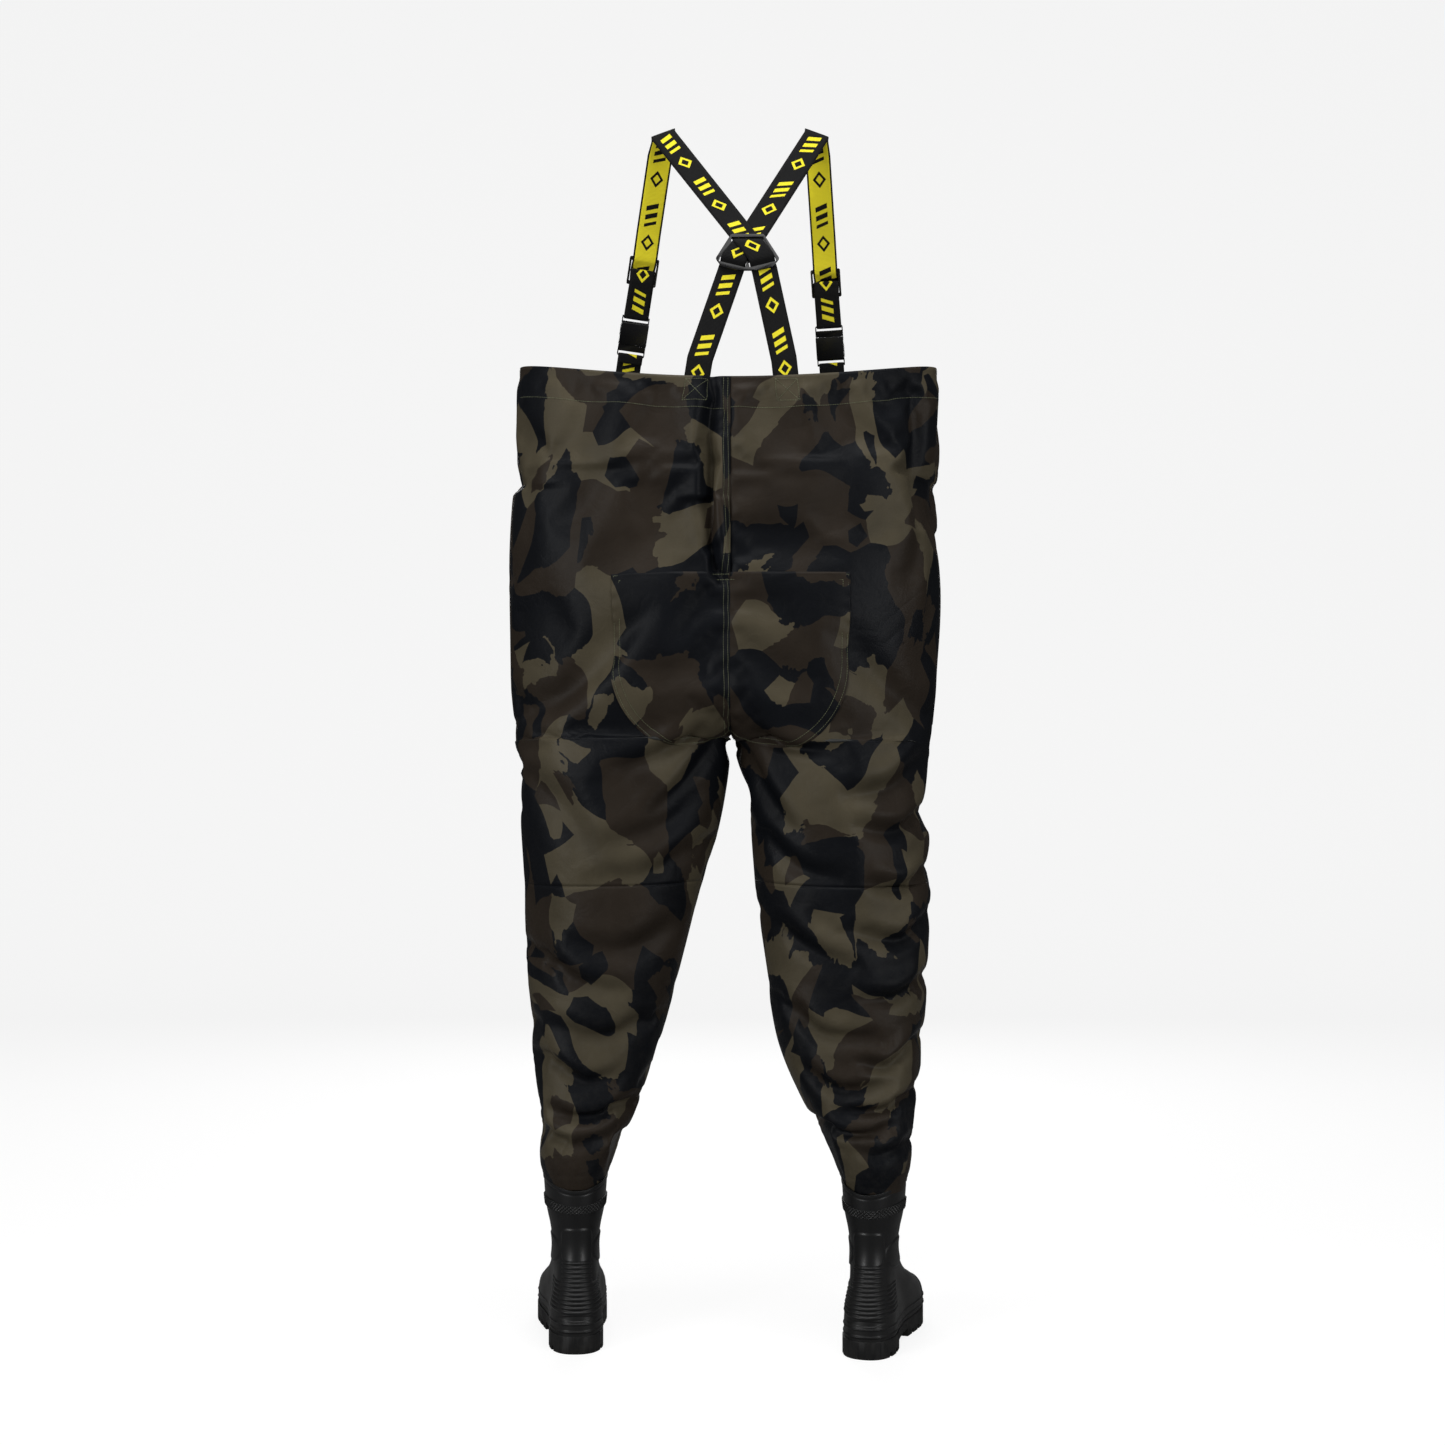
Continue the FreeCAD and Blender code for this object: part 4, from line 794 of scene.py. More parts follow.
def webbing(name, yellow_ground):
    """Elastic webbing: ribbed along its length, woven motif of slanted bars and lozenges.

    uv: across from 0 to 1, along in metres. The ground is black with a yellow motif on one face, and
    yellow with black edges and a black motif on the other."""
    material, tree, shader = new_material(name, roughness=0.72, specular=0.10, sheen=0.03)
    uv = node(tree, "ShaderNodeUVMap", uv_map="UVMap").outputs[0]
    parts = node(tree, "ShaderNodeSeparateXYZ", {0: uv}).outputs
    across = maths(tree, "ABSOLUTE", maths(tree, "SUBTRACT", parts[0], 0.5))
    period = 0.096
    turn = maths(tree, "DIVIDE", parts[1], period)
    share = maths(tree, "FRACT", turn)
    slanted = maths(tree, "MULTIPLY_ADD", maths(tree, "SUBTRACT", parts[0], 0.5), 0.14, share)
    bars = maths(tree, "FRACT", maths(tree, "MULTIPLY", slanted, 7.2))
    bar = maths(tree, "LESS_THAN", bars, 0.56)
    in_group = maths(tree, "MULTIPLY", maths(tree, "GREATER_THAN", slanted, 0.08),
                     maths(tree, "LESS_THAN", slanted, 0.47))
    in_band = maths(tree, "LESS_THAN", across, 0.24)
    bar = maths(tree, "MULTIPLY", maths(tree, "MULTIPLY", bar, in_group), in_band)
    from_middle = maths(tree, "ABSOLUTE", maths(tree, "SUBTRACT", share, 0.74))
    lozenge = maths(tree, "MULTIPLY_ADD", from_middle, 2.05, across)
    ring = maths(tree, "MULTIPLY", maths(tree, "LESS_THAN", lozenge, 0.27),
                 maths(tree, "GREATER_THAN", lozenge, 0.15))
    motif = maths(tree, "MAXIMUM", bar, ring)
    edge = maths(tree, "GREATER_THAN", across, 0.43)
    if yellow_ground:
        clear = maths(tree, "SUBTRACT", 1.0, motif)
        yellow = maths(tree, "MULTIPLY", clear, maths(tree, "SUBTRACT", 1.0, edge))
    else:
        yellow = motif
    rib = maths(tree, "SINE", maths(tree, "MULTIPLY", parts[1], 2 * math.pi / 0.0019))
    warp = maths(tree, "SINE", maths(tree, "MULTIPLY", parts[0], 2 * math.pi * 21))
    cover = maths(tree, "MULTIPLY_ADD", maths(tree, "MULTIPLY", rib, warp), 0.10, 0.90)
    colour = blend_colour(tree, maths(tree, "MULTIPLY", yellow, cover), COLOURS["web_black"],
                          COLOURS["web_yellow"])
    tree.links.new(colour, shader.inputs["Base Color"])
    bump(tree, shader, [(maths(tree, "MULTIPLY_ADD", warp, 0.4, rib), 0.00035, 0.45)])
    return material


def moulded(name, colour, roughness, grain, coat, dust_low=None, dust_high=None, dust_amount=0.0):
    """Moulded plastic or rubber: grain, worn smoother patches, and dust low down if asked."""
    material, tree, shader = new_material(name, specular=0.28)
    shader.inputs["Coat Weight"].default_value = coat
    shader.inputs["Coat Roughness"].default_value = 0.22
    body = node(tree, "ShaderNodeTexCoord").outputs["Object"]
    grains = use(tree, "grain", Vector=body, Grain_per_metre=grain)
    light = tuple(1.25 * value for value in colour)
    tone = blend_colour(tree, grains["Worn"], colour, light)
    if dust_amount:
        mask = use(tree, "dust", Vector=body, Low=dust_low, High=dust_high)["Mask"]
        tone = blend_colour(tree, maths(tree, "MULTIPLY", mask, dust_amount), tone, COLOURS["dust"])
    tree.links.new(tone, shader.inputs["Base Color"])
    rough = maths(tree, "MULTIPLY_ADD", grains["Worn"], -0.08, roughness)
    tree.links.new(rough, shader.inputs["Roughness"])
    soft = node(tree, "ShaderNodeTexNoise", {"Vector": body, "Scale": 30.0, "Detail": 2.0})
    bump(tree, shader, [(soft.outputs["Fac"], 0.0012, 0.18), (grains["Height"], 0.00012, 0.30)])
    return material


FINISH = {
    "cloth": camouflage_cloth(),
    "inside": inside_cloth(),
    "thread": sewing_thread(),
    "web_black": webbing("webbing_black_face", False),
    "web_yellow": webbing("webbing_yellow_face", True),
    "plastic": moulded("glossy_moulded_plastic", COLOURS["plastic"], 0.30, 2200.0, 0.15),
    "rubber": moulded("boot_rubber", COLOURS["rubber"], 0.42, 900.0, 0.08, SOLE, SOLE + 0.16, 0.05),
    "sole": moulded("sole_rubber", COLOURS["sole"], 0.55, 700.0, 0.0, SOLE, SOLE + 0.05, 0.07),
    "felt": moulded("insole_felt", COLOURS["felt"], 0.85, 500.0, 0.0),
}
print("finishes:", ", ".join(sorted(FINISH)))

# %% [markdown]
# ## Cutting the cloth into pieces
# One skin would be simplest, but a piece can bend at one joint only. So each half is cut at mid-thigh into
# an upper piece and a lower one, which share the row at the cut. A thin wall comes from a Solidify modifier
# that grows inwards, so the outer face stays where the folds put it.

# %% Cutting the cloth into pieces
CLOTH_WALL = 0.0014
PANEL_SHIFT = {(-1, "back"): (0.0, 0.0), (-1, "front"): (3.31, 1.7), (1, "back"): (7.13, 0.42),
               (1, "front"): (5.27, 2.9)}


def set_finish(thing, *names):
    """Gives a piece its materials, in order."""
    for name in names:
        thing.data.materials.append(FINISH[name])


def add_wall(thing, thick, inner_slot=0):
    """Solidify: a wall that grows inwards from the surface."""
    wall = thing.modifiers.new("Wall", "SOLIDIFY")
    wall.thickness, wall.offset = thick, -1.0
    wall.use_even_offset = False
    wall.material_offset = inner_slot


def bend_with(thing):
    """Bakes the piece's place into its mesh."""
    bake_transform(thing)


def cloth_piece(name, side, first_row, last_row):
    """Some rows of one half as a closed skin, its uv shifted from panel to panel."""
    surface = CLOTH[side]
    rows = slice(first_row, last_row + 1)
    points = surface["points"][rows] + ORIGIN
    count, columns = points.shape[:2]
    number = np.arange(count * columns).reshape(count, columns)
    closed = surface["heights"][rows] <= SADDLE_LOW + 1e-6
    number[closed, -1] = number[closed, 0]
    quads = number.ravel()[grid_faces(count, columns)]
    uv = corner_uv(surface["uv"][rows]).reshape(count - 1, columns - 1, 4, 2).copy()
    half = (columns - 1) // 2
    uv[:, :half] += PANEL_SHIFT[(side, "back")]
    uv[:, half:] += PANEL_SHIFT[(side, "front")]
    used, packed = np.unique(quads, return_inverse=True)
    piece = mesh_object(name, points.reshape(-1, 3)[used], packed.reshape(-1, 4), uv.reshape(-1, 4, 2),
                        inside_out=side > 0)
    set_finish(piece, "cloth", "inside")
    add_wall(piece, CLOTH_WALL, inner_slot=1)
    print(name, len(used), "points")
    return piece


def make_cloth():
    """Four pieces of cloth, standing for the panels of bib, thighs and shins."""
    for side_name, side in SIDES:
        heights = CLOTH[side]["heights"]
        cut = int(np.argmin(np.abs(heights - MID_THIGH)))
        upper = cloth_piece(f"cloth_upper_{side_name}", side, 0, cut)
        lower = cloth_piece(f"cloth_leg_{side_name}", side, cut, len(heights) - 1)
        bend_with(upper)
        bend_with(lower)
        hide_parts(f"back_panel_{side_name}", f"front_panel_{side_name}",
                    f"thigh_back_{side_name}", f"thigh_front_{side_name}")
        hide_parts(f"shin_back_{side_name}", f"shin_front_{side_name}")


make_cloth()

# %% [markdown]
# ## What is sewn on the cloth
# Seams, patches and stitches could be drawn in the finish, but in a raking light a seam is a step and a
# thread is a cord, so they are real. Each is laid out flat, as (across, height) seen from behind or in
# front, and then looked up on the settled cloth: the flat form tells which row and column of the grid lies
# there, and the settled grid gives the point and its normal. A lift along the normal sets how thick it is.

# %% Looking up places on the cloth
FIRST_LOOK = 400


def column_table(side, face):
    """For every row of the flat form, the column number at evenly spaced distances from the middle."""
    form = CLOTH[side]["form"]
    half = (form.shape[1] - 1) // 2
    columns = np.arange(half + 1) if face == "back" else np.arange(form.shape[1] - 1, half - 1, -1)
    out = np.abs(form[:, columns, 0])
    looks = np.linspace(0, 0.33, FIRST_LOOK)
    return np.array([np.interp(looks, np.maximum.accumulate(row), columns) for row in out])


TABLES = {(side, face): column_table(side, face) for _, side in SIDES for face in ("back", "front")}


def bilinear(grid, rows, columns):
    """A grid read between its points."""
    rows = np.clip(rows, 0, grid.shape[0] - 1.001)
    columns = np.clip(columns, 0, grid.shape[1] - 1.001)
    low_row, low_column = rows.astype(int), columns.astype(int)
    part_row, part_column = rows - low_row, columns - low_column
    if grid.ndim == 3:
        part_row, part_column = part_row[..., None], part_column[..., None]
    left, right = 1 - part_column, part_column
    upper = grid[low_row, low_column] * left + grid[low_row, low_column + 1] * right
    lower = grid[low_row + 1, low_column] * left + grid[low_row + 1, low_column + 1] * right
    return upper * (1 - part_row) + lower * part_row


def on_cloth(side, face, across, height, lift=0.0):
    """Points and normals on one half of the settled cloth, at distances across from the middle."""
    surface = CLOTH[side]
    level = height.copy()
    dip = HEM_CENTRE + (HEM_CORNER - HEM_CENTRE) * (across / 0.315) ** 2 - 1.45
    for _ in range(3):
        level = height - dip * np.clip((level - 1.30) / 0.15, 0, 1) ** 2
    rows = np.interp(-level, -surface["heights"], np.arange(len(surface["heights"])))
    looks = np.abs(across) / 0.33 * (FIRST_LOOK - 1)
    columns = bilinear(TABLES[(side, face)], rows, looks)
    normal = unit(bilinear(surface["normal"], rows, columns))
    points = bilinear(surface["points"], rows, columns)
    return points + normal * np.asarray(lift)[..., None], normal


def on_either(face, across, height, lift=0.0):
    """The same for places on both halves at once: negative distances are on the left one."""
    left = on_cloth(-1, face, np.minimum(across, -1e-5), height, lift)
    right = on_cloth(1, face, np.maximum(across, 1e-5), height, lift)
    pick = (across > 0)[..., None]
    return np.where(pick, right[0], left[0]), np.where(pick, right[1], left[1])


# %% Stitches
STITCH_PITCH, STITCH_LONG, STITCH_WIDE, STITCH_TALL = 0.0036, 0.0029, 0.00085, 0.0006


def stitch_template():
    """A grain of thread: a six-sided barrel of three rings, along x, standing on z = 0."""
    turn = np.linspace(0, 2 * math.pi, 6, endpoint=False)
    rings = []
    for along, swell in ((-0.5, 0.35), (0.0, 1.0), (0.5, 0.35)):
        rings.append(np.stack([np.full(6, along * STITCH_LONG), np.cos(turn) * swell * STITCH_WIDE / 2,
                               np.sin(turn) * swell * STITCH_TALL / 2 + STITCH_TALL * 0.2], 1))
    return np.concatenate(rings), grid_faces(3, 6, closed=True)


STITCH_POINTS, STITCH_FACES = stitch_template()


def stitched(points, normals):
    """Stitches at an even pitch along a line of points: arrays of corner points and of faces."""
    steps = np.linalg.norm(np.diff(points, axis=0), axis=1)
    length = np.concatenate([[0], np.cumsum(steps)])
    wanted = np.arange(STITCH_PITCH / 2, length[-1], STITCH_PITCH)

    def read(array, places):
        return np.stack([np.interp(places, length, array[:, axis]) for axis in range(3)], 1)

    middle, up = read(points, wanted), unit(read(normals, wanted))
    along = unit(read(points, wanted + 1e-3) - read(points, wanted - 1e-3))
    aside = np.cross(up, along)
    local = STITCH_POINTS
    corners = (middle[:, None] + along[:, None] * local[None, :, :1] + aside[:, None] * local[None, :, 1:2]
               + up[:, None] * local[None, :, 2:])
    offset = np.arange(len(wanted))[:, None, None] * len(local)
    return corners.reshape(-1, 3), (STITCH_FACES[None] + offset).reshape(-1, 4)


def stitch_piece(name, lines):
    """One piece from several stitched lines: each is (points, normals)."""
    corners, faces, count = [], [], 0
    for points, normals in lines:
        line_corners, line_faces = stitched(points, normals)
        corners.append(line_corners)
        faces.append(line_faces + count)
        count += len(line_corners)
    piece = mesh_object(name, np.concatenate(corners) + ORIGIN, np.concatenate(faces))
    set_finish(piece, "thread")
    print(name, count // len(STITCH_POINTS), "stitches")
    return piece


def line_on(face, route, lift, count=160):
    """A line on the cloth through straight or curved (across, height) points."""
    route = np.asarray(route, float)
    steps = np.concatenate([[0], np.cumsum(np.linalg.norm(np.diff(route, axis=0), axis=1))])
    wanted = np.linspace(0, steps[-1], count)
    across, height = (np.interp(wanted, steps, route[:, axis]) for axis in range(2))
    return on_either(face, across, height, np.full(count, lift))


# %% [markdown]
# ### Seat patches
# The seat is doubled with a second layer, straight along the top and rounded off in a lobe on each side of
# the crotch. Each half is a grid whose columns crowd towards the outer edge, where the outline turns
# steeply: across = width sin(p 90 degrees), and height runs from the top to the outline's lower edge, a
# quarter ellipse that meets a short slope to the crotch.

# %% Seat patches
PATCH_TOP, PATCH_WIDE, PATCH_STRAIGHT = 1.150, 0.172, 1.020
PATCH_LOBE, PATCH_CROTCH, LOBE_ACROSS = 0.890, 0.909, 0.062
PATCH_LIFT = 0.0017


def patch_bottom(across):
    """The patch's lower edge at a distance from the middle."""
    to_lobe = np.clip(across / LOBE_ACROSS, 0, 1)
    slope = PATCH_CROTCH + (PATCH_LOBE - PATCH_CROTCH) * np.sin(to_lobe * math.pi / 2)
    share = np.clip((across - LOBE_ACROSS) / (PATCH_WIDE - LOBE_ACROSS), 0, 1)
    return slope + (PATCH_STRAIGHT - PATCH_LOBE) * (1 - np.sqrt(np.maximum(0, 1 - share ** 2)))


def patch_edge(side, inset):
    """The patch's outline moved in by an inset: (across, height) from the top middle round to the crotch."""
    turn = np.linspace(0, math.pi / 2, 220)
    wide = PATCH_WIDE - inset
    lower_across = wide * np.sin(turn[::-1])
    lower = patch_bottom(lower_across * PATCH_WIDE / wide) + inset
    top = np.array([[0.0, PATCH_TOP - inset], [wide, PATCH_TOP - inset]])
    outline = np.concatenate([top, np.stack([lower_across, lower], 1)])
    return outline * np.array([side, 1.0])


def make_seat_patch(side_name, side):
    """One half of the doubled seat, its edges rolled down into the cloth."""
    rows, columns = 110, 76
    across = PATCH_WIDE * np.sin(np.linspace(0, 1, columns) * math.pi / 2)[None, :]
    share = np.linspace(0, 1, rows)[:, None]
    bottom = patch_bottom(across)
    height = PATCH_TOP + (bottom - PATCH_TOP) * share
    across = np.broadcast_to(across, height.shape)
    rim = np.minimum(PATCH_TOP - height, height - bottom)
    rim = np.minimum(rim, PATCH_WIDE - across)
    lift = PATCH_LIFT * np.clip(rim / 0.0012, -1, 1) - 0.0004 * (rim < 1e-6)
    pucker = 0.0007 * np.sin(height * 2 * math.pi / 0.019 + 3 * np.sin(across * 40)) * np.exp(-rim / 0.008)
    points, _ = on_cloth(side, "back", side * across, height, lift + pucker * (rim > 0.001))
    flat = np.stack([side * across + 2.37 * side, height + 1.19], -1)
    piece = mesh_object(f"seat_patch_skin_{side_name}", points + ORIGIN, grid_faces(rows, columns),
                        corner_uv(flat), inside_out=side > 0)
    set_finish(piece, "cloth")
    bend_with(piece)
    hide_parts(f"seat_patch_{side_name}")


for side_name, side in SIDES:
    make_seat_patch(side_name, side)

# %% [markdown]
# ### Felled seams, hem and sewn squares
# A felled seam is folded over itself and sewn down twice, so it is a low flat strip with one raw step. Its
# section is a list of (across, lift) pairs carried down the seam. The hem is turned in and sewn once; each
# back strap is caught under a square of stitches with a cross in it.

# %% Felled seams, hem and sewn squares
SEAM_SECTION = [(-0.0112, -0.0004), (-0.0106, 0.0010), (-0.0085, 0.0013), (-0.0035, 0.0013),
                (-0.0008, 0.0016), (0.0004, 0.0014), (0.0009, -0.0006)]
STRAP_SQUARE = {-1: ((-0.0485, 1.4320), (-0.0535, 1.4010)), 1: ((0.0820, 1.4325), (0.0856, 1.4015))}


def seam_strip(name, face, high, low, lean=1):
    """A felled seam down the middle between two heights."""
    section = np.array(SEAM_SECTION) * np.array([lean, 1.0])
    height = np.linspace(high, low, max(8, int((high - low) / 0.004)))
    across = np.broadcast_to(section[None, :, 0], (len(height), len(section)))
    lift = np.broadcast_to(section[None, :, 1], across.shape)
    tall = np.broadcast_to(height[:, None], across.shape)
    points, _ = on_either(face, across, tall.copy(), lift)
    uv = np.stack([across + 9.4, tall], -1)
    flip = (lean > 0) == (face == "back")
    piece = mesh_object(name, points + ORIGIN, grid_faces(*across.shape), corner_uv(uv), inside_out=flip)
    set_finish(piece, "cloth")
    return piece


def side_strip(name, side):
    """The thin seam down each side of the bib, from the hem to the hip: a low rounded bead."""
    surface = CLOTH[side]
    rows = np.flatnonzero(surface["heights"] > 0.93)
    middle = (surface["points"].shape[1] - 1) / 2
    offsets = np.array([-1.0, -0.8, -0.3, 0.3, 0.8, 1.0]) * 0.0045 / FINE
    lifts = np.array([-0.0004, 0.0008, 0.0013, 0.0013, 0.0008, -0.0004])
    row_grid = np.broadcast_to(rows[:, None].astype(float), (len(rows), 6))
    column_grid = middle + np.broadcast_to(offsets[None, :], row_grid.shape)
    normal = unit(bilinear(surface["normal"], row_grid, column_grid))
    points = bilinear(surface["points"], row_grid, column_grid) + normal * lifts[None, :, None]
    uv = np.stack([column_grid * FINE + 11.0, bilinear(surface["uv"][..., 1], row_grid, column_grid)], -1)
    piece = mesh_object(name, points + ORIGIN, grid_faces(*row_grid.shape), corner_uv(uv),
                        inside_out=side > 0)
    set_finish(piece, "cloth")
    return piece


def make_seams():
    """Centre back and front, attached to the bib, and both sides, all above the hip."""
    back = seam_strip("back_felled_seam", "back", 1.4352, 0.912)
    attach(back, "garment")
    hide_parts("back_seam_strip")
    front = seam_strip("front_felled_seam", "front", 1.4352, 0.935, lean=-1)
    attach(front, "garment")
    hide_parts("front_seam_strip")
    for side_name, side in SIDES:
        bead = side_strip(f"side_bead_{side_name}", side)
        bend_with(bead)
        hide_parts(f"side_seam_{side_name}")


def make_hem_lining():
    """The turned-in cloth behind the top edge: two rows of grid points, moved inwards by the wall."""
    for side_name, side in SIDES:
        surface = CLOTH[side]
        rows = np.flatnonzero(surface["heights"] > 1.45 - 0.046)
        inward = np.where(np.arange(len(rows)) == len(rows) - 1, 0.0012, 0.0024)
        points = surface["points"][rows] - surface["normal"][rows] * inward[:, None, None]
        piece = mesh_object(f"hem_lining_{side_name}", points + ORIGIN, grid_faces(*points.shape[:2]),
                            corner_uv(surface["uv"][rows] + 4.4), inside_out=side < 0)
        set_finish(piece, "cloth")
        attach(piece, "garment")
        if side < 0:
            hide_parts("hem_facing")


def box_lines(side):
    """The stitched square and its cross over one back strap's end."""
    (top_x, top_z), (low_x, low_z) = STRAP_SQUARE[side]
    half = 0.0162
    corners = [(top_x - half, top_z), (top_x + half, top_z), (low_x + half, low_z), (low_x - half, low_z)]
    routes = [corners + corners[:1], [corners[0], corners[2]], [corners[1], corners[3]]]
    return [line_on("back", route, 0.0004, 90) for route in routes]


def make_stitching():
    """Hem, centre seams, patches and sewn squares."""
    across = np.linspace(-0.313, 0.313, 300)
    hem_height = HEM_CENTRE + (HEM_CORNER - HEM_CENTRE) * (across / 0.315) ** 2 - 0.046
    hem = [on_either(face, across, hem_height, np.full(300, 0.0004)) for face in ("back", "front")]
    lines = hem + box_lines(-1) + box_lines(1)
    for offset in (-0.0093, -0.0030):
        lines.append(line_on("back", [(offset, 1.434), (offset, 0.914)], 0.0016, 260))
        lines.append(line_on("front", [(-offset, 1.434), (-offset, 0.94)], 0.0016, 260))
    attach(stitch_piece("bib_stitching", lines), "garment")
    for side_name, side in SIDES:
        rows = []
        for inset in (0.0035, 0.0115):
            edge = patch_edge(side, inset)
            across, height = edge[:, 0], edge[:, 1]
            rows.append(on_cloth(side, "back", across, height, np.full(len(across), PATCH_LIFT + 0.0003)))
        piece = stitch_piece(f"seat_stitching_{side_name}", rows)
        bend_with(piece)


make_seams()
make_hem_lining()
make_stitching()

# %% [markdown]
# ## Moulded boots
# A boot comes out of a mould in one piece with its ribs, pads and grooves, so it is one surface with a
# relief on it. At each height the outline is a mix of a foot's outline and an oval, walked evenly from the
# heel round to the heel. The relief is a sum of small heights, each a soft-edged mask over the boot, and
# moves every point along its normal. The knurled band under the rim is finer, so it is a piece of its own.

# %% The outline of a boot
BOOT_PLACE = {-1: (-0.233, -0.016, 6.0), 1: (0.216, -0.046, -14.0)}
BOOT_TOP, RIM_DIP, COLLAR_HALF = 0.250, 0.015, 0.048
FOOT_ALONG = [0.0, 0.03, 0.14, 0.28, 0.44, 0.60, 0.72, 0.84, 0.95, 1.0]
FOOT_WIDE = [0.0, 0.46, 0.73, 0.74, 0.77, 0.93, 1.0, 0.90, 0.58, 0.0]
BOOT_LEVELS = {  # height: heel, toe, half width, roundness
    0.024: (-0.0840, 0.202, 0.0520, 0.0), 0.046: (-0.0830, 0.199, 0.0520, 0.0),
    0.064: (-0.0800, 0.180, 0.0500, 0.0), 0.080: (-0.0770, 0.144, 0.0460, 0.1),
    0.098: (-0.0710, 0.100, 0.0405, 0.4), 0.122: (-0.0620, 0.066, 0.0365, 0.8),
    0.150: (-0.0560, 0.053, 0.0345, 1.0), 0.175: (-0.0570, 0.054, 0.0380, 1.0),
    0.205: (-0.0610, 0.060, 0.0440, 1.0), 0.250: (-0.0630, 0.063, 0.0480, 1.0),
}


def boot_surface(heights, around, grow=0.0):
    """Rows x around points of the plain boot, grown by a distance, each row an even walk from the heel."""
    run = np.arange(-2, 21)
    along = np.interp(np.minimum(run % 18, 18 - run % 18), range(10), FOOT_ALONG)
    wide = np.interp(np.minimum(run % 18, 18 - run % 18), range(10), FOOT_WIDE)
    wide = wide * np.where(run % 18 <= 9, 1, -1)
    turn = np.linspace(0, 18, 500)
    along, wide = through(run, along, turn), through(run, wide, turn)
    along = np.clip(along, 0, 1)
    oval = np.sign(wide) * 2 * np.sqrt(along * (1 - along))
    rows = []
    for heel, toe, half, roundness in sizes_at(BOOT_LEVELS, heights):
        across = (half + grow) * (wide + (oval - wide) * roundness)
        front = heel - grow + (toe - heel + 2 * grow) * along
        row, _ = even_steps(np.stack([across, front, 0 * front], 1), around + 1)
        rows.append(row[:-1])
    points = np.array(rows)
    points[..., 2] = np.asarray(heights)[:, None]
    dip = RIM_DIP * ((points[..., 0] / COLLAR_HALF) ** 2 - 1)
    points[..., 2] += dip * np.clip((points[..., 2] - 0.180) / (BOOT_TOP - 0.180), 0, 1)
    return points


def closed_normals(points):
    """Normals of rows of closed outlines, by the cross product of the two directions' steps."""
    around = np.roll(points, -1, 1) - np.roll(points, 1, 1)
    normal = unit(np.cross(around, np.gradient(points, axis=0)))
    out = points - points.mean(1, keepdims=True)
    return normal * np.sign((normal * out).sum((1, 2), keepdims=True))


def soft(value, low, high):
    """0 below the low value, 1 above the high one, with a smooth turn between."""
    share = np.clip((value - low) / (high - low), 0, 1)
    return share * share * (3 - 2 * share)


def between(value, low, high, edge=0.0012):
    """1 between two values with soft edges."""
    return soft(value, low - edge / 2, low + edge / 2) * (1 - soft(value, high - edge / 2, high + edge / 2))


# %% Its relief
def boot_relief(points, side):
    """Heights of ribs, panel, pads, lines, grooves, toe cap and rim bead at every point."""
    x, y, z = points[..., 0], points[..., 1], points[..., 2]
    rear = soft(-y, 0.0, 0.016)
    lifted = z - 2.4 * x ** 2 * (z < 0.1)
    phase = (lifted - 0.0560) / 0.0062
    rib = (0.5 - 0.5 * np.cos(2 * math.pi * phase)) ** 0.8
    narrow = between(z, 0.0985, 0.1287) * between(np.abs(x), -1, 0.0215)
    wide = between(lifted, 0.0560, 0.0985) * between(np.abs(x), -1, 0.041, 0.006)
    relief = 0.0016 * rear * rib * np.maximum(narrow, wide)
    panel = (np.abs(x) / 0.0222) ** 7 + (np.abs(z - 0.1530) / 0.0240) ** 7
    relief += 0.0013 * rear * (1 - soft(panel, 0.75, 1.25))
    pad = ((y + 0.004) / 0.042) ** 2 + ((z - 0.1425) / 0.0235) ** 2 + 8 * (np.abs(x) < 0.012)
    relief += 0.0018 * (1 - soft(pad, 0.72, 1.0))
    recess = (x / 0.030) ** 2 + ((z - 0.0512) / 0.0042) ** 2
    relief -= 0.0013 * rear * (1 - soft(recess, 0.7, 1.05))
    relief -= 0.0008 * between(np.abs(x), -1, 0.0005, 0.0008) * rear * between(z, 0.058, 0.126)
    relief += 0.0012 * np.exp(-((z - 0.0430) / 0.0011) ** 2)
    zigzag = 0.0008 * np.abs(((y + x) / 0.008) % 1 - 0.5)
    relief += 0.0014 * np.exp(-((z - 0.0318 - zigzag) / 0.0014) ** 2)
    relief += 0.0013 * soft(y, 0.128, 0.131) * (1 - soft(z, 0.070, 0.074))
    slant = ((0.75 * y + z) / 0.0115) % 1
    instep = between(y, -0.050, 0.025, 0.006) * between(z, 0.060, 0.100, 0.004) * (x * side < 0)
    relief -= 0.0010 * instep * soft(np.abs(slant - 0.5), 0.36, 0.46) * (1 - rear * (np.abs(x) < 0.03))
    rim = z - (0.235 + RIM_DIP * (x / COLLAR_HALF) ** 2)
    relief += 0.0009 * soft(rim, -0.0052, -0.0040) - 0.0006 * np.exp(-((rim + 0.0064) / 0.0012) ** 2)
    return relief


def put_boot(points, side):
    """Points of a boot drawn at the middle, turned out and set down at its ankle."""
    across, back, turn_deg = BOOT_PLACE[side]
    turn = math.radians(turn_deg)
    turned = np.stack([points[..., 0] * math.cos(turn) - points[..., 1] * math.sin(turn) + across,
                       points[..., 0] * math.sin(turn) + points[..., 1] * math.cos(turn) + back,
                       points[..., 2]], -1)
    return turned + ORIGIN


def outside_faces(points, faces):
    """The faces, turned round if together they enclose less than nothing: the sum of a.(b x c)."""
    flat = points.reshape(-1, 3) - points.reshape(-1, 3).mean(0)
    first, second, third = (flat[faces[:, corner]] for corner in (0, 1, 2))
    return faces if (first * np.cross(second, third)).sum() > 0 else faces[:, ::-1]


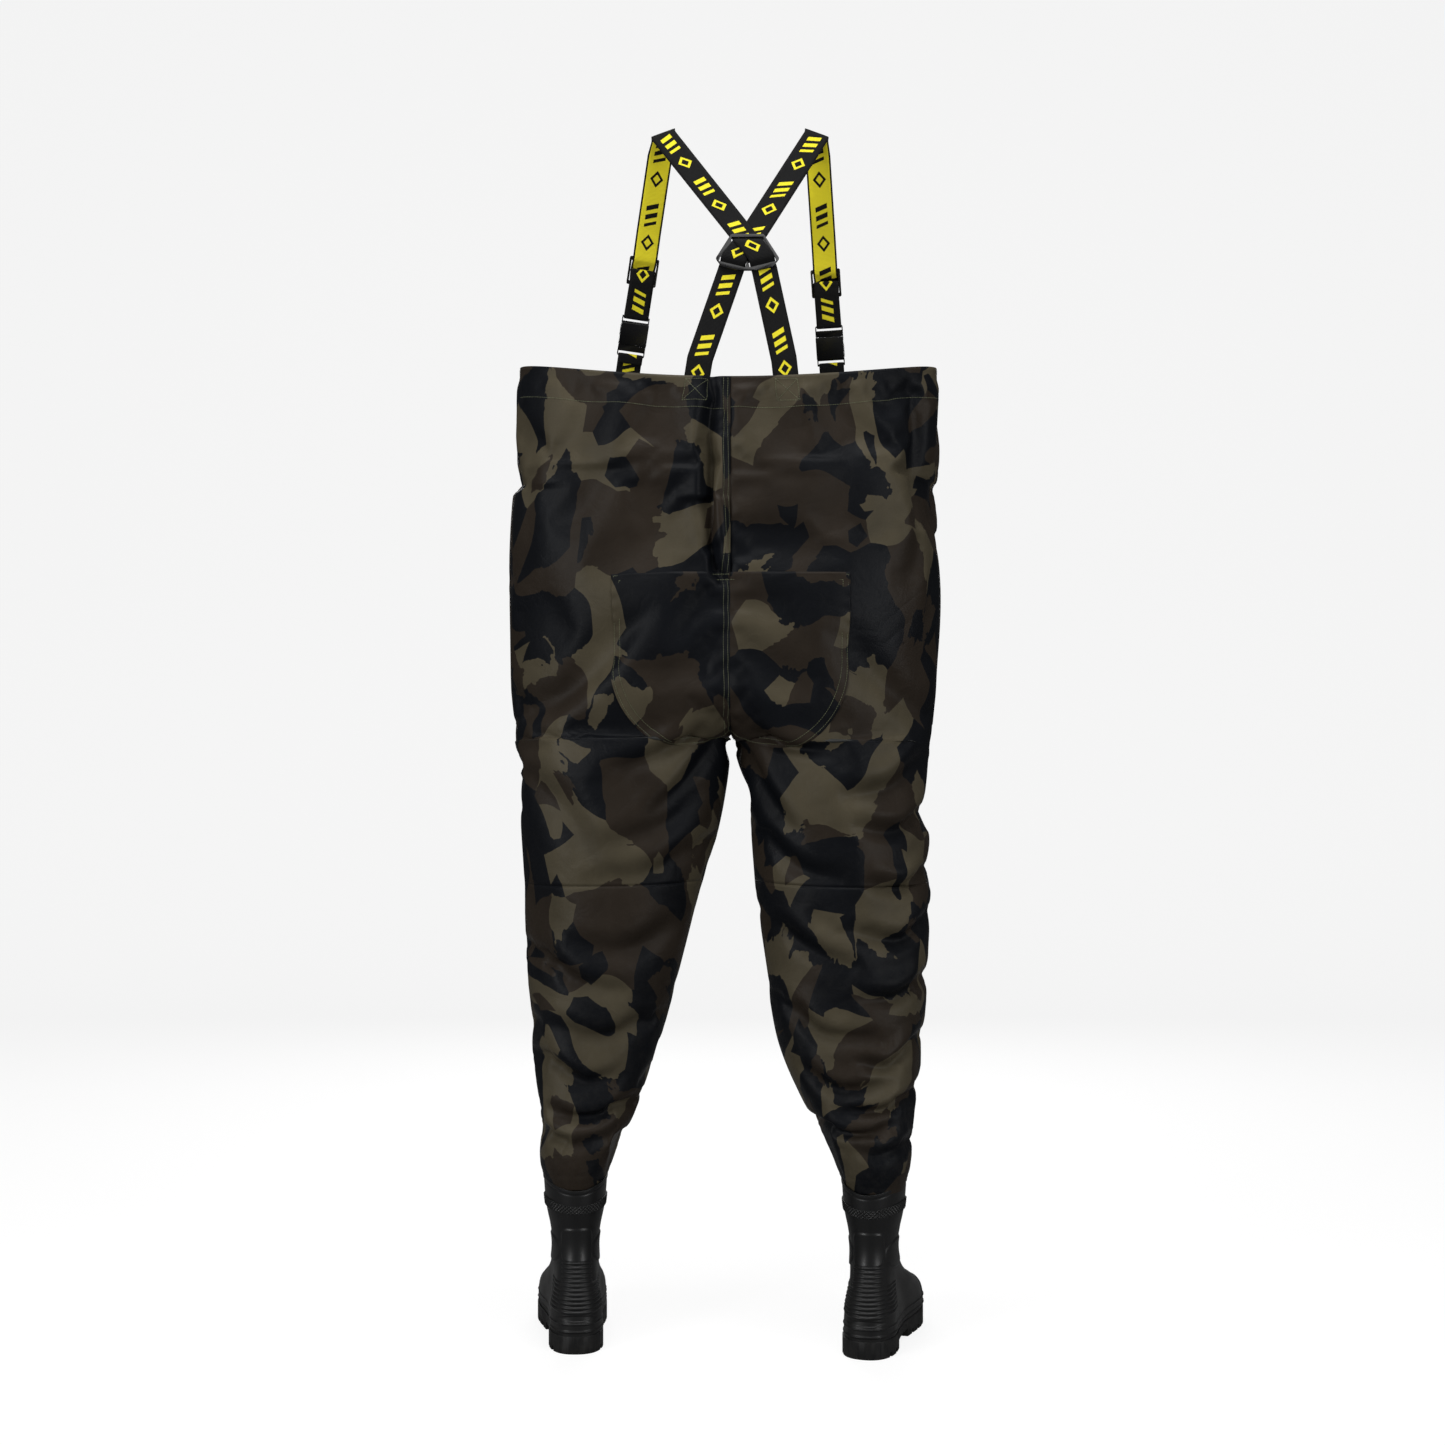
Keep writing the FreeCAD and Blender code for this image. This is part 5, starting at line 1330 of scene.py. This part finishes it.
def make_boot(side_name, side):
    """Upper with its relief and wall, and the knurled band."""
    heights = np.concatenate([np.arange(0.024, 0.0545, 0.0007), np.arange(0.0545, 0.130, 0.00062),
                              np.arange(0.130, 0.2500, 0.0013), [0.250]])
    plain = boot_surface(heights, 180)
    shaped = plain + closed_normals(plain) * boot_relief(plain, side)[..., None]
    upper = mesh_object(f"moulded_boot_{side_name}", put_boot(shaped, side),
                        outside_faces(shaped, grid_faces(len(heights), 180, closed=True)))
    set_finish(upper, "rubber")
    add_wall(upper, 0.0036)
    heights = np.linspace(0.2055, 0.2215, 30)
    ring = boot_surface(heights, 420, 0.0004)
    length = np.arange(420)[None, :] / 420 * 56
    one, two = length + heights[:, None] / 0.0064, length - heights[:, None] / 0.0064
    lift = 0.0019 * np.minimum(np.abs(np.sin(math.pi * one)), np.abs(np.sin(math.pi * two))) ** 0.7
    lift[[0, -1]] = -0.0012
    band_points = ring + closed_normals(ring) * lift[..., None]
    band = mesh_object(f"knurled_band_{side_name}", put_boot(band_points, side),
                       outside_faces(band_points, grid_faces(30, 420, closed=True)))
    set_finish(band, "rubber")
    add_wall(band, 0.0008)
    for piece, node_name in ((upper, "boot_upper"), (band, "collar_band")):
        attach(piece, f"shin_{side_name}")
        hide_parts(f"{node_name}_{side_name}")
    print(upper.name, "relief from", boot_relief(plain, side).min(), "to", boot_relief(plain, side).max())


def merged_copy(node_name, finish, bevel):
    """A copy of a CAD piece with its triangles merged into whole faces and its edges rounded off."""
    body = next(name for name, nodes in BODIES.items() if node_name in nodes)
    source = frame["nodes"][node_name]
    mesh = bpy.data.meshes.new(f"{node_name}_shape")
    shape = bmesh.new()
    shape.from_mesh(source.data)
    bmesh.ops.remove_doubles(shape, verts=shape.verts, dist=2e-5)
    bmesh.ops.dissolve_limit(shape, angle_limit=math.radians(1.5), verts=shape.verts, edges=shape.edges)
    shape.to_mesh(mesh)
    shape.free()
    mesh.polygons.foreach_set("use_smooth", np.full(len(mesh.polygons), True))
    piece = bpy.data.objects.new(f"{node_name}_moulding", mesh)
    bpy.context.scene.collection.objects.link(piece)
    edge = piece.modifiers.new("Edge", "BEVEL")
    edge.width, edge.segments, edge.limit_method = bevel, 2, "ANGLE"
    edge.angle_limit = math.radians(32)
    edge.harden_normals = True
    piece.data.materials.append(FINISH[finish])
    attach(piece, body)
    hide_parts(node_name)
    return piece


# %% [markdown]
# ## Soles, insoles and cuffs
# Soles take their shape from the frame, with their edges rounded, and the insoles only get their felt. The
# cuff is the doubled end of a leg: its last rows once more, one layer out.

# %% Soles, insoles and cuffs
BODIES = frame["record"]["behaviour"]["bodies"]
for side_name, side in SIDES:
    make_boot(side_name, side)
    merged_copy(f"outsole_{side_name}", "sole", 0.0009)
    insole = frame["nodes"][f"insole_{side_name}"]
    insole.data.materials.clear()
    insole.data.materials.append(FINISH["felt"])


def make_cuff(side_name, side):
    """The doubled end of the leg where it goes down inside the boot: its last rows, one layer out."""
    surface = CLOTH[side]
    rows = np.flatnonzero(surface["heights"] < 0.262)
    lift = np.where((np.arange(len(rows)) == 0), -0.0005, 0.0009)[:, None, None]
    points = surface["points"][rows] + surface["normal"][rows] * lift
    number = np.arange(points[..., 0].size).reshape(points.shape[:2])
    number[:, -1] = number[:, 0]
    faces = number.ravel()[grid_faces(*points.shape[:2])]
    half = (points.shape[1] - 1) // 2
    uv = corner_uv(surface["uv"][rows]).reshape(len(rows) - 1, points.shape[1] - 1, 4, 2).copy()
    uv[:, :half] += PANEL_SHIFT[(side, "back")]
    uv[:, half:] += PANEL_SHIFT[(side, "front")]
    piece = mesh_object(f"doubled_cuff_{side_name}", points + ORIGIN, faces,
                        uv.reshape(-1, 4, 2), inside_out=side > 0)
    set_finish(piece, "cloth")
    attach(piece, f"shin_{side_name}")
    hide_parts(f"cuff_band_{side_name}")


for side_name, side in SIDES:
    make_cuff(side_name, side)

# %% [markdown]
# ## Elastic straps
# Webbing bends only across its flat side, so a strap is a flat section carried along a line: each station
# has a centre and the vector from the centre to one edge. The line goes over the shoulder, weaves through
# the slide, turns round the buckle's bar and comes back up to the slide's middle bar. The section is a flat
# loop of points, and its uv is (share across, metres along), so the woven motif follows every bend. The
# face that lies against the wearer is yellow with black edges, and the outer face is black.

# %% Carrying webbing along a line
WEB_HALF, WEB_THICK, LAYER = 0.019, 0.0014, 0.0031
ACROSS_STEPS = 8


def webbing_strip(name, stations, yellow_face):
    """A strap through (centre, half width vector) stations; its yellow face is 1, on the side of
    step x half width, or -1, or 0 for none."""
    centres = np.array([centre for centre, _ in stations], float)
    halves = np.array([half for _, half in stations], float)
    steps = np.concatenate([[0], np.cumsum(np.linalg.norm(np.diff(centres, axis=0), axis=1))])
    wanted = np.linspace(0, steps[-1], int(steps[-1] / 0.0015) + 2)
    line = np.stack([np.interp(wanted, steps, centres[:, axis]) for axis in range(3)], 1)
    wide = np.stack([np.interp(wanted, steps, halves[:, axis]) for axis in range(3)], 1)
    for _ in range(3):
        line[1:-1] = line[1:-1] * 0.5 + (line[:-2] + line[2:]) * 0.25
        wide[1:-1] = wide[1:-1] * 0.5 + (wide[:-2] + wide[2:]) * 0.25
    normal = unit(np.cross(np.gradient(line, axis=0), wide))
    share = np.linspace(-1, 1, ACROSS_STEPS + 1)
    across = np.concatenate([share, share[::-1]])
    rounded = 1 - 0.35 * np.abs(across) ** 10
    up = np.concatenate([np.ones(ACROSS_STEPS + 1), -np.ones(ACROSS_STEPS + 1)]) * rounded
    points = (line[:, None] + wide[:, None] * across[None, :, None]
              + normal[:, None] * (up * WEB_THICK / 2)[None, :, None])
    loop = len(across)
    quads = grid_faces(len(line), loop, closed=True)
    along = np.concatenate([[0], np.cumsum(np.linalg.norm(np.diff(line, axis=0), axis=1))])
    u_low = (across + 1) / 2
    u_pair = np.stack([u_low, np.roll(u_low, -1)], 1)
    uv = np.zeros((len(line) - 1, loop, 4, 2))
    uv[..., [0, 3], 0] = u_pair[None, :, :1]
    uv[..., [1, 2], 0] = u_pair[None, :, 1:]
    uv[..., :2, 1] = along[:-1, None, None]
    uv[..., 2:, 1] = along[1:, None, None]
    face_kind = np.zeros((len(line) - 1, loop), int)
    face_kind[:, :ACROSS_STEPS] = yellow_face > 0
    face_kind[:, ACROSS_STEPS + 1:-1] = yellow_face < 0
    pairs = np.arange(ACROSS_STEPS)
    cap = np.stack([pairs + 1, pairs, loop - 1 - pairs, loop - 2 - pairs], 1)
    last = (len(line) - 1) * loop
    cap_uv = np.zeros((2 * ACROSS_STEPS, 4, 2))
    faces = np.concatenate([quads, cap, cap[:, ::-1] + last])
    uv = np.concatenate([uv.reshape(-1, 4, 2), cap_uv])
    kinds = np.concatenate([face_kind.ravel(), np.zeros(2 * ACROSS_STEPS, int)])
    flat = points.reshape(-1, 3) - line.mean(0)
    first, second, third = (flat[quads[:, corner]] for corner in (0, 1, 2))
    inside_out = (first * np.cross(second, third)).sum() < 0
    piece = mesh_object(name, points + ORIGIN, faces, uv, inside_out=inside_out)
    set_finish(piece, "web_black", "web_yellow")
    piece.data.polygons.foreach_set("material_index", kinds)
    print(name, "is", round(float(along[-1]), 3), "m long")
    return piece


# %% [markdown]
# ### Where the straps run
# Each front strap hangs along one straight line from the shoulder fold to the bib, so its route is written
# in that line's own frame: how far outwards and how far up. At a bar the strap follows an arc.

# %% Where the straps run
FOLD_HEIGHT, FOLD_OUT = 1.832, {-1: 0.101, 1: 0.132}
HEM_ACROSS = {-1: 0.160, 1: 0.161}
MOUTH_HEIGHT, SLIDE_HEIGHT = {-1: 1.518, 1: 1.531}, {-1: 1.627, 1: 1.610}
SOCKET_SLOT, BASE_SLOT, TO_BAR, SLIDE_BAR = 0.0393, 0.0123, 0.0041, 0.0185
BIB_POWER = 2.6


def inside_bib(across):
    """How far front or back a strap lies that is sewn inside the bib."""
    share = (abs(across) + 0.038) / 0.315
    return 0.125 * (1 - share ** BIB_POWER) ** (1 / BIB_POWER) - 0.0053


def line_frame(side):
    """Foot of the strap's line, its length, and its up, outwards and across directions."""
    foot = np.array([side * HEM_ACROSS[side], inside_bib(HEM_ACROSS[side]), 1.470])
    head = np.array([side * FOLD_OUT[side], 0.009, FOLD_HEIGHT - 0.006])
    up = unit((head - foot)[None])[0]
    turn = math.radians(9)
    level = np.array([math.cos(turn), -side * math.sin(turn), 0.0])
    outwards = unit(np.cross(up, level)[None])[0]
    return foot, np.linalg.norm(head - foot), up, outwards, np.cross(outwards, up)


def arc(middle, first_deg, last_deg, steps, radius=LAYER):
    """(outwards, up) points round a bar."""
    turn = np.radians(np.linspace(first_deg, last_deg, steps))
    return [(middle[0] + radius * math.cos(angle), middle[1] + radius * math.sin(angle)) for angle in turn]


def at_fold(side, routes):
    """Stations at the shoulder fold, from (front, below the top) pairs."""
    tilt = math.radians(20)
    half = np.array([math.cos(tilt), 0, -side * math.sin(tilt)]) * WEB_HALF
    return [(np.array([side * FOLD_OUT[side], front, FOLD_HEIGHT - drop]), half) for front, drop in routes]


def make_front_straps(side_name, side):
    """Front run, the tail folded back up to the slide, and the tab into the bib."""
    foot, length, up, outwards, across = line_frame(side)
    wide = across * WEB_HALF

    def climb(height):
        return (height - foot[2]) / up[2]

    def place(out, along):
        return foot + outwards * out + up * along

    mouth, slide = climb(MOUTH_HEIGHT[side]), climb(SLIDE_HEIGHT[side])
    upper = mouth + (SOCKET_SLOT if side < 0 else BASE_SLOT)
    lower = mouth - (BASE_SLOT if side < 0 else SOCKET_SLOT)
    run = [(0, length - 0.034), (0, slide + 0.060), (-0.0016, slide + 0.034),
           (-0.003, slide + SLIDE_BAR + 0.003), (-0.003, slide + SLIDE_BAR - 0.003), (0.001, slide + 0.0095),
           (0.0049, slide + 0.003), (0.0049, slide - 0.003), (0.001, slide - 0.0095),
           (-0.003, slide - SLIDE_BAR + 0.003), (-0.0026, slide - SLIDE_BAR - 0.005), (LAYER, upper + 0.009)]
    run += arc((0, upper + TO_BAR), 0, -90, 5)
    stations = at_fold(side, [(0.0004, 0.0070), (0.0036, 0.0082), (0.0062, 0.012)])
    stations += [(place(*point), wide) for point in run]
    front = webbing_strip(f"front_webbing_{side_name}", stations, 1)
    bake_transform(front)
    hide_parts(f"strap_front_{side_name}")
    tail = arc((0, upper + TO_BAR), -92, -180, 5)
    tail += [(-LAYER, upper + 0.009), (-0.0049, slide - SLIDE_BAR - 0.006),
             (-0.0049, slide - SLIDE_BAR + 0.004), (-0.0029, slide - 0.004)]
    tail += arc((0, slide), 180, 30, 6, 0.0029)
    back = webbing_strip(f"tail_webbing_{side_name}", [(place(*point), wide) for point in tail], 1)
    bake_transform(back)
    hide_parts(f"strap_tail_{side_name}")
    tab = [(place(-LAYER, lower - 0.016), wide)]
    tab += [(place(*point), wide) for point in arc((0, lower - TO_BAR), 180, 0, 9)]
    tab += [(place(LAYER, lower - 0.009), wide)]
    for height in (1.462, 1.440, 1.392):
        spot = place(0, climb(height))
        tab.append((np.array([spot[0], foot[1], height]), wide))
    piece = webbing_strip(f"tab_webbing_{side_name}", tab, 0)
    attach(piece, "garment")
    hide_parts(f"strap_tab_{side_name}")


PLATE_AT, PLATE_TILT = np.array([0.026, -0.103, 1.622]), math.radians(-15)
ANCHORS = {-1: (0.079, 0.088), 1: (-0.044, -0.057)}


def on_plate(vector):
    """A direction in the cross plate's frame, tilted back about x."""
    x, y, z = vector
    return np.array([x, y * math.cos(PLATE_TILT) - z * math.sin(PLATE_TILT),
                     y * math.sin(PLATE_TILT) + z * math.cos(PLATE_TILT)])


def make_back_strap(side_name, side):
    """Back run: over the shoulder, across to the other side through the plate, and down inside the bib."""
    level = np.array([WEB_HALF / math.cos(math.radians(30)), 0, 0])
    slant = math.radians(15)
    lower_half = np.array([math.cos(slant), 0, -side * math.sin(slant)]) * WEB_HALF
    low, lift = 0.0216, side * 0.0011
    path = [(side * 0.006, 0.0054, 0.028, level), (side * 0.0012, 0.0038, 0.022, level),
            (-side * 0.0012, -0.0038, 0.016, level), (-side * 0.004, -0.005, 0.011, level),
            (-side * (low - 0.003), -0.005, -0.008, lower_half),
            (-side * (low - 0.0008), -0.0038, -0.0135, lower_half),
            (-side * (low + 0.0008), 0.0038, -0.0195, lower_half),
            (-side * (low + 0.003), 0.0054, -0.026, lower_half)]
    stations = at_fold(side, [(-0.0004, 0.0070), (-0.0036, 0.0082), (-0.0062, 0.012)])
    stations += [(PLATE_AT + on_plate((x, out + lift, z)), on_plate(half)) for x, out, z, half in path]
    wide = np.array([math.cos(slant * 0.9), 0, -side * math.sin(slant * 0.9)]) * WEB_HALF
    stations += [(np.array([across, -inside_bib(across), height]), wide)
                 for height, across in zip((1.462, 1.380), ANCHORS[side])]
    piece = webbing_strip(f"back_webbing_{side_name}", stations, -1)
    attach(piece, "garment")
    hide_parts(f"strap_back_{side_name}")


for side_name, side in SIDES:
    make_front_straps(side_name, side)
    make_back_strap(side_name, side)

# %% [markdown]
# ## Moulded hardware
# The cross plate, slides and buckles are hard black plastic with rounded edges that catch the light. Their
# shapes are right already, so each is a merged copy with its edges rounded off by a Bevel modifier.

# %% Moulded hardware
HARDWARE = ["cross_plate"] + [f"{kind}_{side_name}{hand}" for side_name, _ in SIDES for kind, hand in (
    ("ladder_slide", ""), ("buckle_socket", ""), ("buckle_base", ""), ("prong", "_a"), ("prong", "_b"))]
for node_name in HARDWARE:
    merged_copy(node_name, "plastic", 0.0005)
print(len(HARDWARE), "mouldings")

# %% [markdown]
# ## The rows of each cloth piece
# Each of the four pieces was cut flat. For each one the rows that it covers and the pieces sewn on it are
# listed, and nothing more is done with them. Its flat area is taken as the sum of the quads of its finished
# mesh, folds included, and its flat length as the height that it covers. So the flat size follows from the
# mesh: that the two agree says nothing about whether the folds stretch the cloth.

# %% The rows of each cloth piece


for side_name, side in SIDES:
    surface = CLOTH[side]
    cut = int(np.argmin(np.abs(surface["heights"] - MID_THIGH)))
    on_upper = ("seat_patch_skin", "side_bead", "hem_lining", "seat_stitching")
    for name, rows, sewn in (("cloth_upper", slice(0, cut + 1), on_upper),
                             ("cloth_leg", slice(cut, None), ("doubled_cuff",))):
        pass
